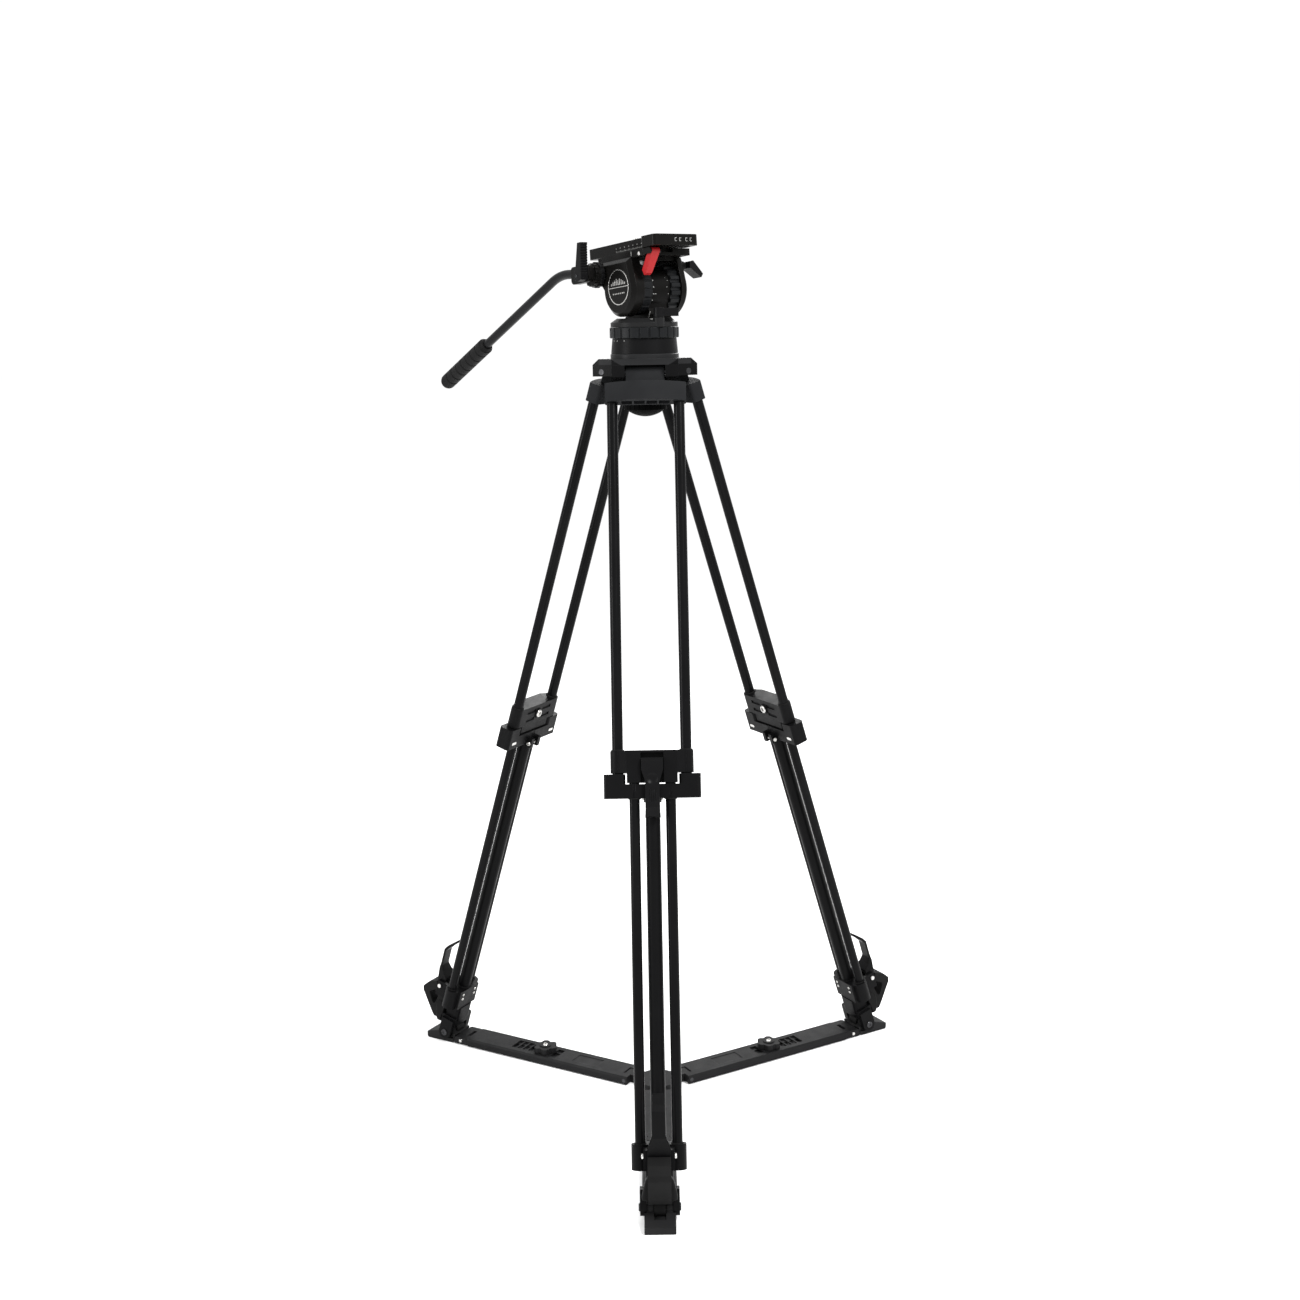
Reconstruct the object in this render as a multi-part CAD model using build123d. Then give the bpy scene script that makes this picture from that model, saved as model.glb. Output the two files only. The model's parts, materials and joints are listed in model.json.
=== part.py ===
from build123d import *
from math import cos, pi, radians, sin
import os

# Tripod with fluid head. Millimetres, +Z up, origin on the tripod's axis at the floor.
# The front leg points to -Y. The head faces HEAD_YAW, measured from +X.

# ---- Legs ----
LEGS = {"front": -90, "right": 30, "left": 150}
LEG_SPLAY = 17.8
PIVOT_R = 44.0
PIVOT_Z = 1081.0
FOOT_Z = 18.0
LEG_LENGTH = (PIVOT_Z - FOOT_Z) / cos(radians(LEG_SPLAY))
FOOT_R = PIVOT_R + LEG_LENGTH * sin(radians(LEG_SPLAY))

# Distances down the leg from its pivot
CASTING_TOP, CASTING_END = 17.0, 43.0
SLIDER_TOP, SLIDER_STEP, SLIDER_END = 522.0, 552.0, 565.0
COLLAR_TOP, COLLAR_STEP, COLLAR_END = 553.5, 567.0, 586.0
BRACKET_TOP, BRACKET_END = 1035.0, 1068.0
NECK_END = 1094.0

# Tubes: spacing across the leg, offset outward, radius
UPPER_SPACING, UPPER_R = 92.0, 7.5
MIDDLE_SPACING, MIDDLE_R, MIDDLE_OUT = 48.5, 7.0, 6.0
INNER_R = 10.0
TUBE_WALL = 1.4
SLIDE_GAP = 0.1
TURN_GAP = 0.05
AIR_GAP = 0.4

# Leg-top casting and its hinge
CASTING_WIDTH = 112.0
CASTING_ARC_R = 140.0
CASTING_FRONT = 20.0
CASTING_BACK = -12.0
TONGUE_WIDTH = 53.0
PIN_R = 4.0
BARREL_R = 8.0
POCKET_COUNT, RIB_HALF = 4, 1.3

# Clamp blocks on the leg
SLIDER_WIDTH, SLIDER_STEP_WIDTH = 112.0, 68.0
COLLAR_WIDTH, COLLAR_CHEEK = 130.0, 36.0
BLOCK_BACK = -10.0
SLIDER_FRONT, COLLAR_FRONT = 15.0, 13.0
WINDOW_WIDTH = 31.0
LEVER_PIN_R = 2.0
LOW_LEVER_PIN_R = 2.5
MID_LEVER_X, MID_LEVER_DOWN = 11.5, 536.0
LOW_LEVER_X, LOW_LEVER_DOWN = 32.0, 1046.0
BRACKET_LUG_R = 12.0

# Crown
BAND_R, BAND_LOW, BAND_TOP = 48.0, 1091.0, 1106.0
LUG_LOW, LUG_TOP, LUG_OUT = 1075.0, 1099.0, 58.0
LUG_INNER_V, LUG_OUTER_V = 28.0, 46.0
CORE_R, CORE_LOW = 30.0, 1064.0
BOWL_R = 37.5
BOWL_STUD_R, BOWL_STUD_LOW = 5.0, 1034.0
BOWL_KNOB_R, BOWL_KNOB_LOW, BOWL_KNOB_RIM = 30.0, 1018.0, 1036.0

# Spreader on the floor
ARM_WIDTH, ARM_LOW, ARM_TOP = 47.0, 2.0, 14.0
SLEEVE_IN, SLEEVE_OUT = 42.0, 341.5
BLADE_WIDTH, BLADE_LOW, BLADE_TOP, BLADE_IN = 30.0, 4.0, 11.0, 150.0
KNOB_PLACE, KNOB_R = 205.0, 19.0
ARM_PIN_PLACE = 356.0
HUB_R, HUB_PIN_PLACE = 30.0, 47.0
LINK_Z, LINK_PIN_R = 7.5, 3.0
KNOB_STUD_R = 4.0
PAD_OUT, PAD_IN, PAD_WIDTH = 424.0, 373.0, 41.0
STRAP_SLOT_R, STRAP_SLOT_HALF = 14.6, 8.4

# Head. Local frame: +X is forward, +Y the plain side, the pan bar is on -Y.
# The cradle's sizes are given level; it stands nose-up by HEAD_TILT about the tilt axis.
HEAD_YAW, HEAD_TILT = -54.0, 4.8
BASE_TOP = 1126.7
PAN_SPIGOT_R, PAN_POST_R = 30.0, 12.0
RING_LOW, RING_TOP, RING_R = 1127.0, 1141.7, 48.5
DISC_LOW, DISC_TOP, DISC_R, DISC_EDGE_R = 1142.0, 1154.0, 47.0, 38.0
TILT_Z = 1193.0
DRUM_R, DRUM_NEAR, DRUM_FAR = 31.0, -8.6, 23.0
SADDLE_FOOT, SADDLE_NECK = 37.0, 23.0
SPIGOT_R, SPIGOT_NEAR, SPIGOT_FAR = 24.0, -24.2, 39.1
SIDE_RING_R = 35.0
AXLE_R, AXLE_NEAR, AXLE_FAR = 6.0, -40.0, 47.0
COVER_R, COVER_TOP, COVER_BACK, COVER_FRONT = 37.0, 1233.5, -52.0, 28.0
BADGE_NEAR, BADGE_FAR = -44.0, -24.5
PLAIN_NEAR, PLAIN_FAR = 39.4, 51.0
PLATFORM_BACK, PLATFORM_FRONT, PLATFORM_NEAR, PLATFORM_FAR = -50.0, 53.0, -33.0, 44.0
PLATFORM_LOW, PLATFORM_TOP = 1229.5, 1242.9
RAIL_BACK, RAIL_HALF, RAIL_LOW, SEAT_TOP = -90.0, 26.0, 1243.3, 1258.0
NOSE_BACK, NOSE_FRONT, NOSE_HALF = 50.0, 83.0, 37.5
TONGUE_LOW, TONGUE_HALF = 1238.2, 15.0
SCREW_X, SCREW_R, SCREW_NECK_R, SCREW_LENGTH = -10.0, 3.175, 2.6, 5.5
SCREW_HEAD_R, WELL_HALF, WELL_TOP = 7.0, 8.0, 1253.0
TILT_LOCK_X, TILT_LOCK_Z, TILT_LOCK_BOSS = 21.0, 1223.0, 54.0
PAN_LOCK_X, PAN_LOCK_Y = 43.0, -6.0
PAN_LOCK_LOW, PAN_LOCK_TOP = 1155.0, 1168.0
RED_X, RED_Z, RED_NEAR, RED_FAR = 64.0, 1238.5, -31.0, -18.0
EAR_R = 4.3
HANDLE_X, HANDLE_Z = -43.0, 1217.7
BOLT_R = 5.0
ROSETTE_R, ROSETTE_SIDE = 16.0, 52.0
BAR_SIDE, BAR_R, BAR_BEND_R = 60.5, 6.5, 100.0
BAR_BEND_X, BAR_BEND_Z = -115.6, 1226.3
BAR_END_X, BAR_END_Z = -465.6, 1097.7
SOCKET_SIDE = 68.0
WING_SIDE, WING_TOP = 80.0, 1260.8
GRIP_R, GRIP_LENGTH, GRIP_GROOVES = 12.0, 146.0, 7


def cyl(radius, low, high, x=0.0, y=0.0):
    """Upright cylinder between two heights."""
    return Pos(x, y, (low + high) / 2) * Cylinder(radius, high - low)


def cyl_y(radius, low, high, x=0.0, z=0.0):
    """Cylinder along Y between two places."""
    return Pos(x, (low + high) / 2, z) * Rot(90, 0, 0) * Cylinder(radius, high - low)


def block(x0, x1, y0, y1, z0, z1):
    """Box between two corners."""
    centre = Pos((x0 + x1) / 2, (y0 + y1) / 2, (z0 + z1) / 2)
    return centre * Box(x1 - x0, y1 - y0, z1 - z0)


def side_profile(points, half_width):
    """Outline in the XZ plane, extruded to both sides of Y."""
    face = Plane.XZ * make_face(Polyline(*points, close=True))
    return extrude(face, half_width, both=True)


def plan_profile(points, low, high):
    """Outline in the XY plane, extruded between two heights."""
    return Pos(0, 0, low) * extrude(make_face(Polyline(*points, close=True)), high - low)


def soften(shape, radius, axis):
    """Round the edges that run along one axis."""
    return fillet(shape.edges().filter_by(axis), radius)


def pipe(radius, low, high, x=0.0, y=0.0):
    """Hollow upright tube."""
    return cyl(radius, low, high, x, y) - cyl(radius - TUBE_WALL, low - 1, high + 1, x, y)


def on_leg(shape):
    """Leg-local shape (X outward, Y across, -Z down the leg) to the leg at azimuth 0."""
    return Pos(PIVOT_R, 0, PIVOT_Z) * Rot(0, -LEG_SPLAY, 0) * shape


def ribbed_ring(radius, bore, low, high, count, depth):
    """Knurled ring about Z: broad ribs with narrow round grooves between them."""
    ring = cyl(radius, low, high) - cyl(bore, low - 1, high + 1)
    ring = chamfer(ring.edges().filter_by(GeomType.CIRCLE).sort_by(SortBy.RADIUS)[-2:], 0.8)
    for i in range(count):
        angle = 2 * pi * i / count
        groove = cyl(depth, low - 1, high + 1, radius * cos(angle), radius * sin(angle))
        ring = ring - groove
    return ring


# ---- One leg, in leg-local axes ----


def top_casting():
    rim = Pos(CASTING_FRONT - CASTING_ARC_R, 0) * Circle(CASTING_ARC_R)
    depth = CASTING_FRONT - CASTING_BACK
    window = Pos(CASTING_BACK + depth / 2, 0) * Rectangle(depth, CASTING_WIDTH)
    band = extrude(rim & window, CASTING_END - CASTING_TOP)
    band = soften(band, 5, Axis.Z)
    band = Pos(0, 0, -CASTING_END) * band
    pocket_span = UPPER_SPACING - 2 * UPPER_R - 8
    pitch = pocket_span / POCKET_COUNT
    for i in range(POCKET_COUNT):
        middle = (i - (POCKET_COUNT - 1) / 2) * pitch
        half = pitch / 2 - RIB_HALF
        band = band - block(-8, 9, middle - half, middle + half, -CASTING_END - 1, -CASTING_TOP - 5)
    tongue = block(-8, 8, -TONGUE_WIDTH / 2, TONGUE_WIDTH / 2, -CASTING_TOP - 2, 0)
    tongue = tongue + cyl_y(BARREL_R, -TONGUE_WIDTH / 2, TONGUE_WIDTH / 2)
    casting = band + tongue
    casting = casting - cyl_y(PIN_R + TURN_GAP, -LUG_OUTER_V, LUG_OUTER_V)
    for side in (-1, 1):
        casting = casting - cyl(UPPER_R, -CASTING_END - 1, -CASTING_TOP - 3, 0, side * UPPER_SPACING / 2)
    return casting


def upper_tubes():
    low, high = -COLLAR_END + 5, -CASTING_TOP - 3
    return Compound([pipe(UPPER_R, low, high, 0, side * UPPER_SPACING / 2) for side in (-1, 1)])


def mid_slider():
    half = UPPER_SPACING / 2
    body = block(BLOCK_BACK, SLIDER_FRONT - 4, -half, half, -SLIDER_STEP, -SLIDER_TOP)
    for side in (-1, 1):
        body = body + cyl(SLIDER_WIDTH / 2 - half, -SLIDER_STEP, -SLIDER_TOP, 0, side * half)
    step = SLIDER_STEP_WIDTH / 2
    front = plan_profile(
        [(0, -half), (10, -half), (SLIDER_FRONT, -step), (SLIDER_FRONT, step), (10, half), (0, half)],
        -SLIDER_STEP, -SLIDER_TOP)
    skirt = block(BLOCK_BACK + 2, SLIDER_FRONT, -step, step, -SLIDER_END, -SLIDER_STEP)
    body = body + front + skirt
    window = WINDOW_WIDTH / 2
    body = body - block(7, SLIDER_FRONT + 1, -window, window, -SLIDER_END - 1, -SLIDER_TOP - 3)
    for side in (-1, 1):
        body = body - cyl(UPPER_R + SLIDE_GAP, -SLIDER_END - 1, -SLIDER_TOP + 1, 0, side * half)
        middle = side * MIDDLE_SPACING / 2
        body = body - cyl(MIDDLE_R, -SLIDER_END - 1, -SLIDER_TOP - 3, MIDDLE_OUT, middle)
        for down in (8.5, 21.5):
            near, far = sorted((side * 9.0, side * 31.0))
            body = body - block(BLOCK_BACK - 1, BLOCK_BACK + 1.6, near, far,
                                -SLIDER_TOP - down - 2.6, -SLIDER_TOP - down + 2.6)
    return body + cyl_y(LEVER_PIN_R, -window - 1, window + 1, MID_LEVER_X, -MID_LEVER_DOWN)


def mid_lever():
    x, top = MID_LEVER_X, -MID_LEVER_DOWN
    side = side_profile(
        [(x - 3, top + 2), (x, top + 4), (x + 6, top + 4), (x + 9.5, top),
         (x + 9.5, top - 62), (x + 12.5, top - 74), (x + 9, top - 76), (x + 2.6, top - 68),
         (x + 2.6, top - 4), (x - 4, top - 4)], 15)
    face = [(14.6, 7), (14.6, -12), (9.5, -28), (9.5, -56), (10.5, -78), (-10.5, -78),
            (-9.5, -56), (-9.5, -28), (-14.6, -12), (-14.6, 7)]
    outline = make_face(Polyline(*[(y, top + z) for y, z in face], close=True))
    front = extrude(Plane.YZ * outline, 40)
    lever = side & front
    dish = Pos(x + 9.5 + 12, 0, top - 24) * Sphere(14.2)
    lever = lever - dish
    for i in range(4):
        groove = -5 + 2.8 * i
        lever = lever - block(x + 8.8, x + 10, groove, groove + 1.4, top - 56, top - 38)
    return lever - cyl_y(LEVER_PIN_R + TURN_GAP, -20, 20, x, top)


def middle_tubes():
    low, high = -BRACKET_END + 4, -SLIDER_TOP - 3
    places = [side * MIDDLE_SPACING / 2 for side in (-1, 1)]
    return Compound([pipe(MIDDLE_R, low, high, MIDDLE_OUT, y) for y in places])


def collar():
    half = COLLAR_WIDTH / 2
    bar = block(BLOCK_BACK, COLLAR_FRONT, -half, half, -COLLAR_END, -COLLAR_STEP)
    for side in (-1, 1):
        near, far = sorted((side * COLLAR_CHEEK, side * half))
        bar = bar + block(BLOCK_BACK, COLLAR_FRONT, near, far, -COLLAR_END, -COLLAR_TOP)
    bar = soften(bar, 5, Axis.Z)
    lug = block(BLOCK_BACK - 8, BLOCK_BACK + 2, 5, 12, -COLLAR_END - 5, -COLLAR_END + 10)
    bar = bar + lug + mirror(lug, Plane.XZ)
    bar = bar - cyl_y(2.0, -14, 14, BLOCK_BACK - 4, -COLLAR_END + 1)
    bar = bar - cyl(INNER_R + AIR_GAP, -COLLAR_END - 6, -COLLAR_TOP + 1)
    for side in (-1, 1):
        bar = bar - cyl(UPPER_R, -COLLAR_END + 5, -COLLAR_TOP + 1, 0, side * UPPER_SPACING / 2)
        bar = bar - cyl(MIDDLE_R + SLIDE_GAP, -COLLAR_END - 1, -COLLAR_TOP + 1, MIDDLE_OUT,
                        side * MIDDLE_SPACING / 2)
    return bar


def lower_bracket():
    body = block(-12, 13, -MIDDLE_SPACING / 2, MIDDLE_SPACING / 2, -BRACKET_END, -BRACKET_TOP)
    for side in (-1, 1):
        place = side * MIDDLE_SPACING / 2
        body = body + cyl(BRACKET_LUG_R, -BRACKET_END, -BRACKET_TOP, MIDDLE_OUT - 2, place)
        near, far = sorted((side * 15.2, side * 20.5))
        body = body + block(8, LOW_LEVER_X + 5, near, far, -BRACKET_END + 4, -BRACKET_TOP - 3)
    for side in (-1, 1):
        place = side * MIDDLE_SPACING / 2
        body = body - cyl(MIDDLE_R, -BRACKET_END + 4, -BRACKET_TOP + 1, MIDDLE_OUT, place)
    body = body - cyl(INNER_R + SLIDE_GAP, -BRACKET_END - 1, -BRACKET_TOP + 1)
    return body + cyl_y(LOW_LEVER_PIN_R, -22, 22, LOW_LEVER_X, -LOW_LEVER_DOWN)


def lower_lever():
    """Clamp lever: a block round its pin, then a thin open handle that curls in at the top."""
    x, z = LOW_LEVER_X, -LOW_LEVER_DOWN
    profile = [(-5, -8), (5, -8), (9, 4), (12, 14), (15, 24), (15, 58), (10.5, 66), (-1, 78.5), (-3.5, 76),
               (7, 63), (11.4, 55), (11.4, 28), (6, 20), (-4, 13), (-6, 8)]
    side = side_profile([(x + out, z + up) for out, up in profile], 15)
    face = [(14.8, -12), (14.8, 10), (8.5, 30), (8.5, 62), (7, 90), (-7, 90), (-8.5, 62), (-8.5, 30),
            (-14.8, 10), (-14.8, -12)]
    outline = make_face(Polyline(*[(y, z + up) for y, up in face], close=True))
    lever = side & extrude(Plane.YZ * outline, 60)
    return lever - cyl_y(LOW_LEVER_PIN_R + TURN_GAP, -20, 20, x, z)


def inner_leg():
    tube = pipe(INNER_R, -BRACKET_END - 7, -SLIDER_END - 1.5)
    neck = block(-13, 13, -18.5, 18.5, -NECK_END, -BRACKET_END - 1)
    neck = soften(neck, 6, Axis.Z)
    neck = neck - cyl(INNER_R, -BRACKET_END - 7, -BRACKET_END)
    pivot = -LEG_LENGTH
    web = plan_profile([(-12, -22), (14, -22), (14, 22), (-12, 22)], -NECK_END - 9, -NECK_END + 6)
    foot = neck + web
    for side in (-1, 1):
        near, far = sorted((side * 17.2, side * 26.0))
        foot = foot + block(-11, 11, near, far, pivot, -NECK_END + 2)
        foot = foot + cyl_y(11, near, far, 0, pivot)
    foot = foot + cyl_y(PIN_R, -26, 26, 0, pivot)
    return Compound([tube, foot])


# ---- Spreader, at azimuth 0 ----


def foot_pad():
    half = PAD_WIDTH / 2
    lean = sin(radians(LEG_SPLAY)) / cos(radians(LEG_SPLAY))
    sole = side_profile(
        [(PAD_IN, 0), (PAD_OUT - 2, 0), (PAD_OUT, 2), (PAD_OUT, 10), (FOOT_R + 14, 17),
         (FOOT_R - 8, 17), (PAD_IN - 14 * lean, 14)], half)
    upright = block(FOOT_R - 10, FOOT_R + 10, -16.5, 16.5, 8, FOOT_Z) + cyl_y(10, -16.5, 16.5, FOOT_R, FOOT_Z)
    pad = sole + upright
    tongue = block(ARM_PIN_PLACE - 5, PAD_IN + 4, -9, 9, 3, 13)
    pad = pad + tongue
    ears = block(FOOT_R - 14, FOOT_R + 13, 16.8, half + 1, 6.5, 40)
    pad = pad - ears - mirror(ears, Plane.XZ)
    pad = pad - block(FOOT_R + 2, PAD_OUT - 14, -8, 8, 12, 40)
    pad = pad - cyl_y(STRAP_SLOT_R, -STRAP_SLOT_HALF, STRAP_SLOT_HALF, FOOT_R, FOOT_Z)
    return pad - cyl_y(PIN_R + TURN_GAP, -25, 25, FOOT_R, FOOT_Z)


def arm_slider():
    lean = sin(radians(LEG_SPLAY)) / cos(radians(LEG_SPLAY))
    gap = 2.0
    end = side_profile(
        [(SLEEVE_OUT + AIR_GAP, ARM_LOW), (PAD_IN - gap - ARM_LOW * lean, ARM_LOW),
         (PAD_IN - gap - 12 * lean, 12), (PAD_IN - gap - 12.5 * lean - 3, 13), (SLEEVE_OUT + AIR_GAP, 13)],
        ARM_WIDTH / 2 - 1.5)
    slot = block(ARM_PIN_PLACE - 11, PAD_IN + 5, -9.6, 9.6, 0, 20)
    blade = block(BLADE_IN, SLEEVE_OUT + 2, -BLADE_WIDTH / 2, BLADE_WIDTH / 2, BLADE_LOW, BLADE_TOP)
    blade = blade - block(BLADE_IN + 20, SLEEVE_OUT - 20, -5, 5, BLADE_TOP - 2, BLADE_TOP + 1)
    slider = (end - slot) + blade
    for side in (-1, 1):
        near, far = sorted((side * 9.8, side * (ARM_WIDTH / 2 - 0.3)))
        slider = slider + cyl_y(LINK_PIN_R, near, far, ARM_PIN_PLACE, LINK_Z)
    return slider


def arm_sleeve():
    half = ARM_WIDTH / 2
    section = [(-half, ARM_LOW), (half, ARM_LOW), (half, ARM_TOP - 3), (half - 2, ARM_TOP),
               (-half + 2, ARM_TOP), (-half, ARM_TOP - 3)]
    face = Plane.YZ * make_face(Polyline(*section, close=True))
    sleeve = Pos(SLEEVE_IN, 0, 0) * extrude(face, SLEEVE_OUT - SLEEVE_IN)
    channel = BLADE_WIDTH / 2 + AIR_GAP
    sleeve = sleeve - block(SLEEVE_IN + 24, SLEEVE_OUT + 1, -channel, channel,
                            BLADE_LOW - AIR_GAP, BLADE_TOP + AIR_GAP)
    for near, far in ((222, 262), (176, 188)):
        sleeve = sleeve - block(near, far, -13, 13, BLADE_TOP, ARM_TOP + 1)
    for i in range(3):
        place = 232 + 10 * i
        sleeve = sleeve + block(place, place + 2.5, -13, 13, BLADE_TOP + AIR_GAP, ARM_TOP - 0.8)
    sleeve = sleeve - block(103, 148, -12, 12, ARM_TOP - 0.8, ARM_TOP + 1)
    sleeve = sleeve - cyl(KNOB_STUD_R + TURN_GAP, BLADE_TOP, ARM_TOP + 1, KNOB_PLACE)
    sleeve = sleeve - block(SLEEVE_IN - 1, HUB_PIN_PLACE + 8, -10, 10, 0, ARM_TOP + 1)
    return sleeve - cyl_y(LINK_PIN_R, -half - 1, half + 1, HUB_PIN_PLACE, LINK_Z)


def arm_knob():
    body = cyl(KNOB_R - 4, ARM_TOP + AIR_GAP, ARM_TOP + 9, KNOB_PLACE)
    for i in range(6):
        angle = 2 * pi * i / 6
        x, y = KNOB_PLACE + (KNOB_R - 6) * cos(angle), (KNOB_R - 6) * sin(angle)
        body = body + cyl(6, ARM_TOP + AIR_GAP, ARM_TOP + 9, x, y)
    body = body + cyl(9, ARM_TOP + 8, ARM_TOP + 10.5, KNOB_PLACE)
    body = body - cyl(4.5, ARM_TOP + 9, ARM_TOP + 12, KNOB_PLACE)
    return body + cyl(KNOB_STUD_R, BLADE_TOP + AIR_GAP, ARM_TOP + 2, KNOB_PLACE)


def spreader_hub():
    hub = cyl(HUB_R, 0, ARM_TOP - 1)
    for azimuth in LEGS.values():
        tongue = block(0, HUB_PIN_PLACE + 6, -10, 10, 1, ARM_TOP - 1)
        tongue = tongue - cyl_y(LINK_PIN_R, -12, 12, HUB_PIN_PLACE, LINK_Z)
        hub = hub + Rot(0, 0, azimuth) * tongue
    hub = hub + cyl(12, ARM_TOP - 2, ARM_TOP + 1)
    return hub


def hub_pins():
    pin = cyl_y(LINK_PIN_R, -ARM_WIDTH / 2, ARM_WIDTH / 2, HUB_PIN_PLACE, LINK_Z)
    return Compound([Rot(0, 0, azimuth) * pin for azimuth in LEGS.values()])


# ---- Crown and bowl ----


def crown():
    body = cyl(BAND_R, BAND_LOW, BAND_TOP) + cyl(CORE_R, CORE_LOW, BAND_LOW + 1)
    for azimuth in LEGS.values():
        lug = side_profile(
            [(12, LUG_LOW), (LUG_OUT, LUG_LOW), (LUG_OUT, LUG_TOP - 8), (BAND_R, LUG_TOP), (12, LUG_TOP)],
            LUG_OUTER_V)
        station = Rot(0, 0, azimuth) * lug
        body = body + station
    body = chamfer(body.edges().filter_by(GeomType.CIRCLE).group_by(Axis.Z)[-1], 1.5)
    for azimuth in LEGS.values():
        slot = block(CORE_R + 2, 90, -LUG_INNER_V, LUG_INNER_V, LUG_LOW - 20, BAND_LOW)
        bore = cyl_y(PIN_R, -LUG_OUTER_V - 9, LUG_OUTER_V + 9, PIVOT_R, PIVOT_Z)
        body = body - Rot(0, 0, azimuth) * (slot + bore)
    body = body - Pos(0, 0, BAND_TOP + 1) * Sphere(BOWL_R)
    return body - cyl(24, CORE_LOW - 1, BAND_TOP - 20)


def leg_pivot_pins():
    pin = cyl_y(PIN_R, -LUG_OUTER_V, LUG_OUTER_V, PIVOT_R, PIVOT_Z)
    return Compound([Rot(0, 0, azimuth) * pin for azimuth in LEGS.values()])


def half_ball_base():
    ball = Pos(0, 0, BAND_TOP + 1) * Sphere(BOWL_R - 0.3)
    ball = ball & cyl(BOWL_R, BAND_TOP - 33, BAND_TOP)
    cone = Pos(0, 0, (BAND_TOP + BASE_TOP) / 2) * Cone(BAND_R - 1, BAND_R - 3, BASE_TOP - BAND_TOP)
    spigot = cyl(PAN_SPIGOT_R, BASE_TOP - 1, RING_TOP) + cyl(PAN_POST_R, RING_TOP - 1, DISC_TOP - 2)
    stud = cyl(BOWL_STUD_R, BOWL_STUD_LOW, BAND_TOP - 30)
    return ball + cone + spigot + stud


def bowl_knob():
    low, rim = BOWL_KNOB_LOW, BOWL_KNOB_RIM
    dome = Pos(0, 0, low + 42) * Sphere(42) & cyl(BOWL_KNOB_R, low, low + 12)
    knob = dome + cyl(BOWL_KNOB_R, low + 10, rim) + cyl(16, rim - 1, rim + 22)
    knob = knob + cyl(27, rim + 20, CORE_LOW - AIR_GAP)
    knob = knob - cyl(BOWL_STUD_R + TURN_GAP, BOWL_STUD_LOW - 2, CORE_LOW + 6)
    groove_r = BOWL_KNOB_R + 0.6
    for i in range(24):
        angle = 2 * pi * i / 24
        knob = knob - cyl(1.4, low + 6, rim + 1, groove_r * cos(angle), groove_r * sin(angle))
    return knob


# ---- Head, in head-local axes ----


def pan_drag_ring():
    return ribbed_ring(RING_R, PAN_SPIGOT_R + TURN_GAP, RING_LOW, RING_TOP, 22, 1.7)


def head_body():
    disc = cyl(DISC_R, DISC_LOW, DISC_TOP - 6)
    disc = disc + Pos(0, 0, DISC_TOP - 3) * Cone(DISC_R, DISC_EDGE_R, 6)
    waist = DISC_TOP + 13
    saddle = side_profile(
        [(-SADDLE_FOOT, DISC_TOP - 2), (SADDLE_FOOT, DISC_TOP - 2), (SADDLE_NECK + 4, DISC_TOP + 5),
         (SADDLE_NECK, waist), (SADDLE_NECK + 3, TILT_Z - 8), (-SADDLE_NECK - 3, TILT_Z - 8),
         (-SADDLE_NECK, waist), (-SADDLE_NECK - 4, DISC_TOP + 5)], (DRUM_FAR - DRUM_NEAR) / 2)
    saddle = Pos(0, (DRUM_FAR + DRUM_NEAR) / 2, 0) * saddle
    drum = cyl_y(DRUM_R, DRUM_NEAR, DRUM_FAR, 0, TILT_Z)
    spigots = cyl_y(SPIGOT_R, SPIGOT_NEAR, SPIGOT_FAR, 0, TILT_Z)
    pedestal = cyl(7.5, DISC_LOW, PAN_LOCK_LOW - AIR_GAP, PAN_LOCK_X, PAN_LOCK_Y)
    body = disc + saddle + drum + spigots + pedestal
    body = body - cyl_y(AXLE_R + TURN_GAP, SPIGOT_NEAR - 1, SPIGOT_FAR + 1, 0, TILT_Z)
    return body - cyl(PAN_POST_R + TURN_GAP, DISC_LOW - 1, DISC_TOP - 2 + AIR_GAP)


def pan_lock_lever():
    boss = cyl(7, PAN_LOCK_LOW, PAN_LOCK_TOP, PAN_LOCK_X, PAN_LOCK_Y)
    tab = block(0, 27, -3.5, 4.5, PAN_LOCK_LOW + 1, PAN_LOCK_TOP - 1)
    return boss + Pos(PAN_LOCK_X, PAN_LOCK_Y, 0) * Rot(0, 0, 62) * tab


def side_ring(near, far, count, depth):
    """Knurled ring round a spigot, between two places across the head."""
    ring = ribbed_ring(SIDE_RING_R, SPIGOT_R + TURN_GAP, near, far, count, depth)
    return Pos(0, 0, TILT_Z) * Rot(-90, 0, 0) * ring


def tilt_drag_ring():
    return side_ring(SPIGOT_NEAR + 0.1, DRUM_NEAR - AIR_GAP, 18, 1.8)


def counterbalance_ring():
    return side_ring(DRUM_FAR + AIR_GAP, SPIGOT_FAR - 0.1, 20, 3.0)


def tilt_axle():
    return cyl_y(AXLE_R, AXLE_NEAR, AXLE_FAR, 0, TILT_Z)


def cover(near, far):
    """Teardrop side cover between two places across the head."""
    lean = radians(8)
    outline = make_face(Polyline((-COVER_R, TILT_Z), (COVER_BACK, TILT_Z + 18), (COVER_BACK, COVER_TOP),
                                 (COVER_FRONT, COVER_TOP),
                                 (COVER_R * cos(lean), TILT_Z + COVER_R * sin(lean)),
                                 (0, TILT_Z), close=True))
    face = outline + Pos(0, TILT_Z) * Circle(COVER_R)
    return Pos(0, far, 0) * extrude(Plane.XZ * face, far - near)


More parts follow.
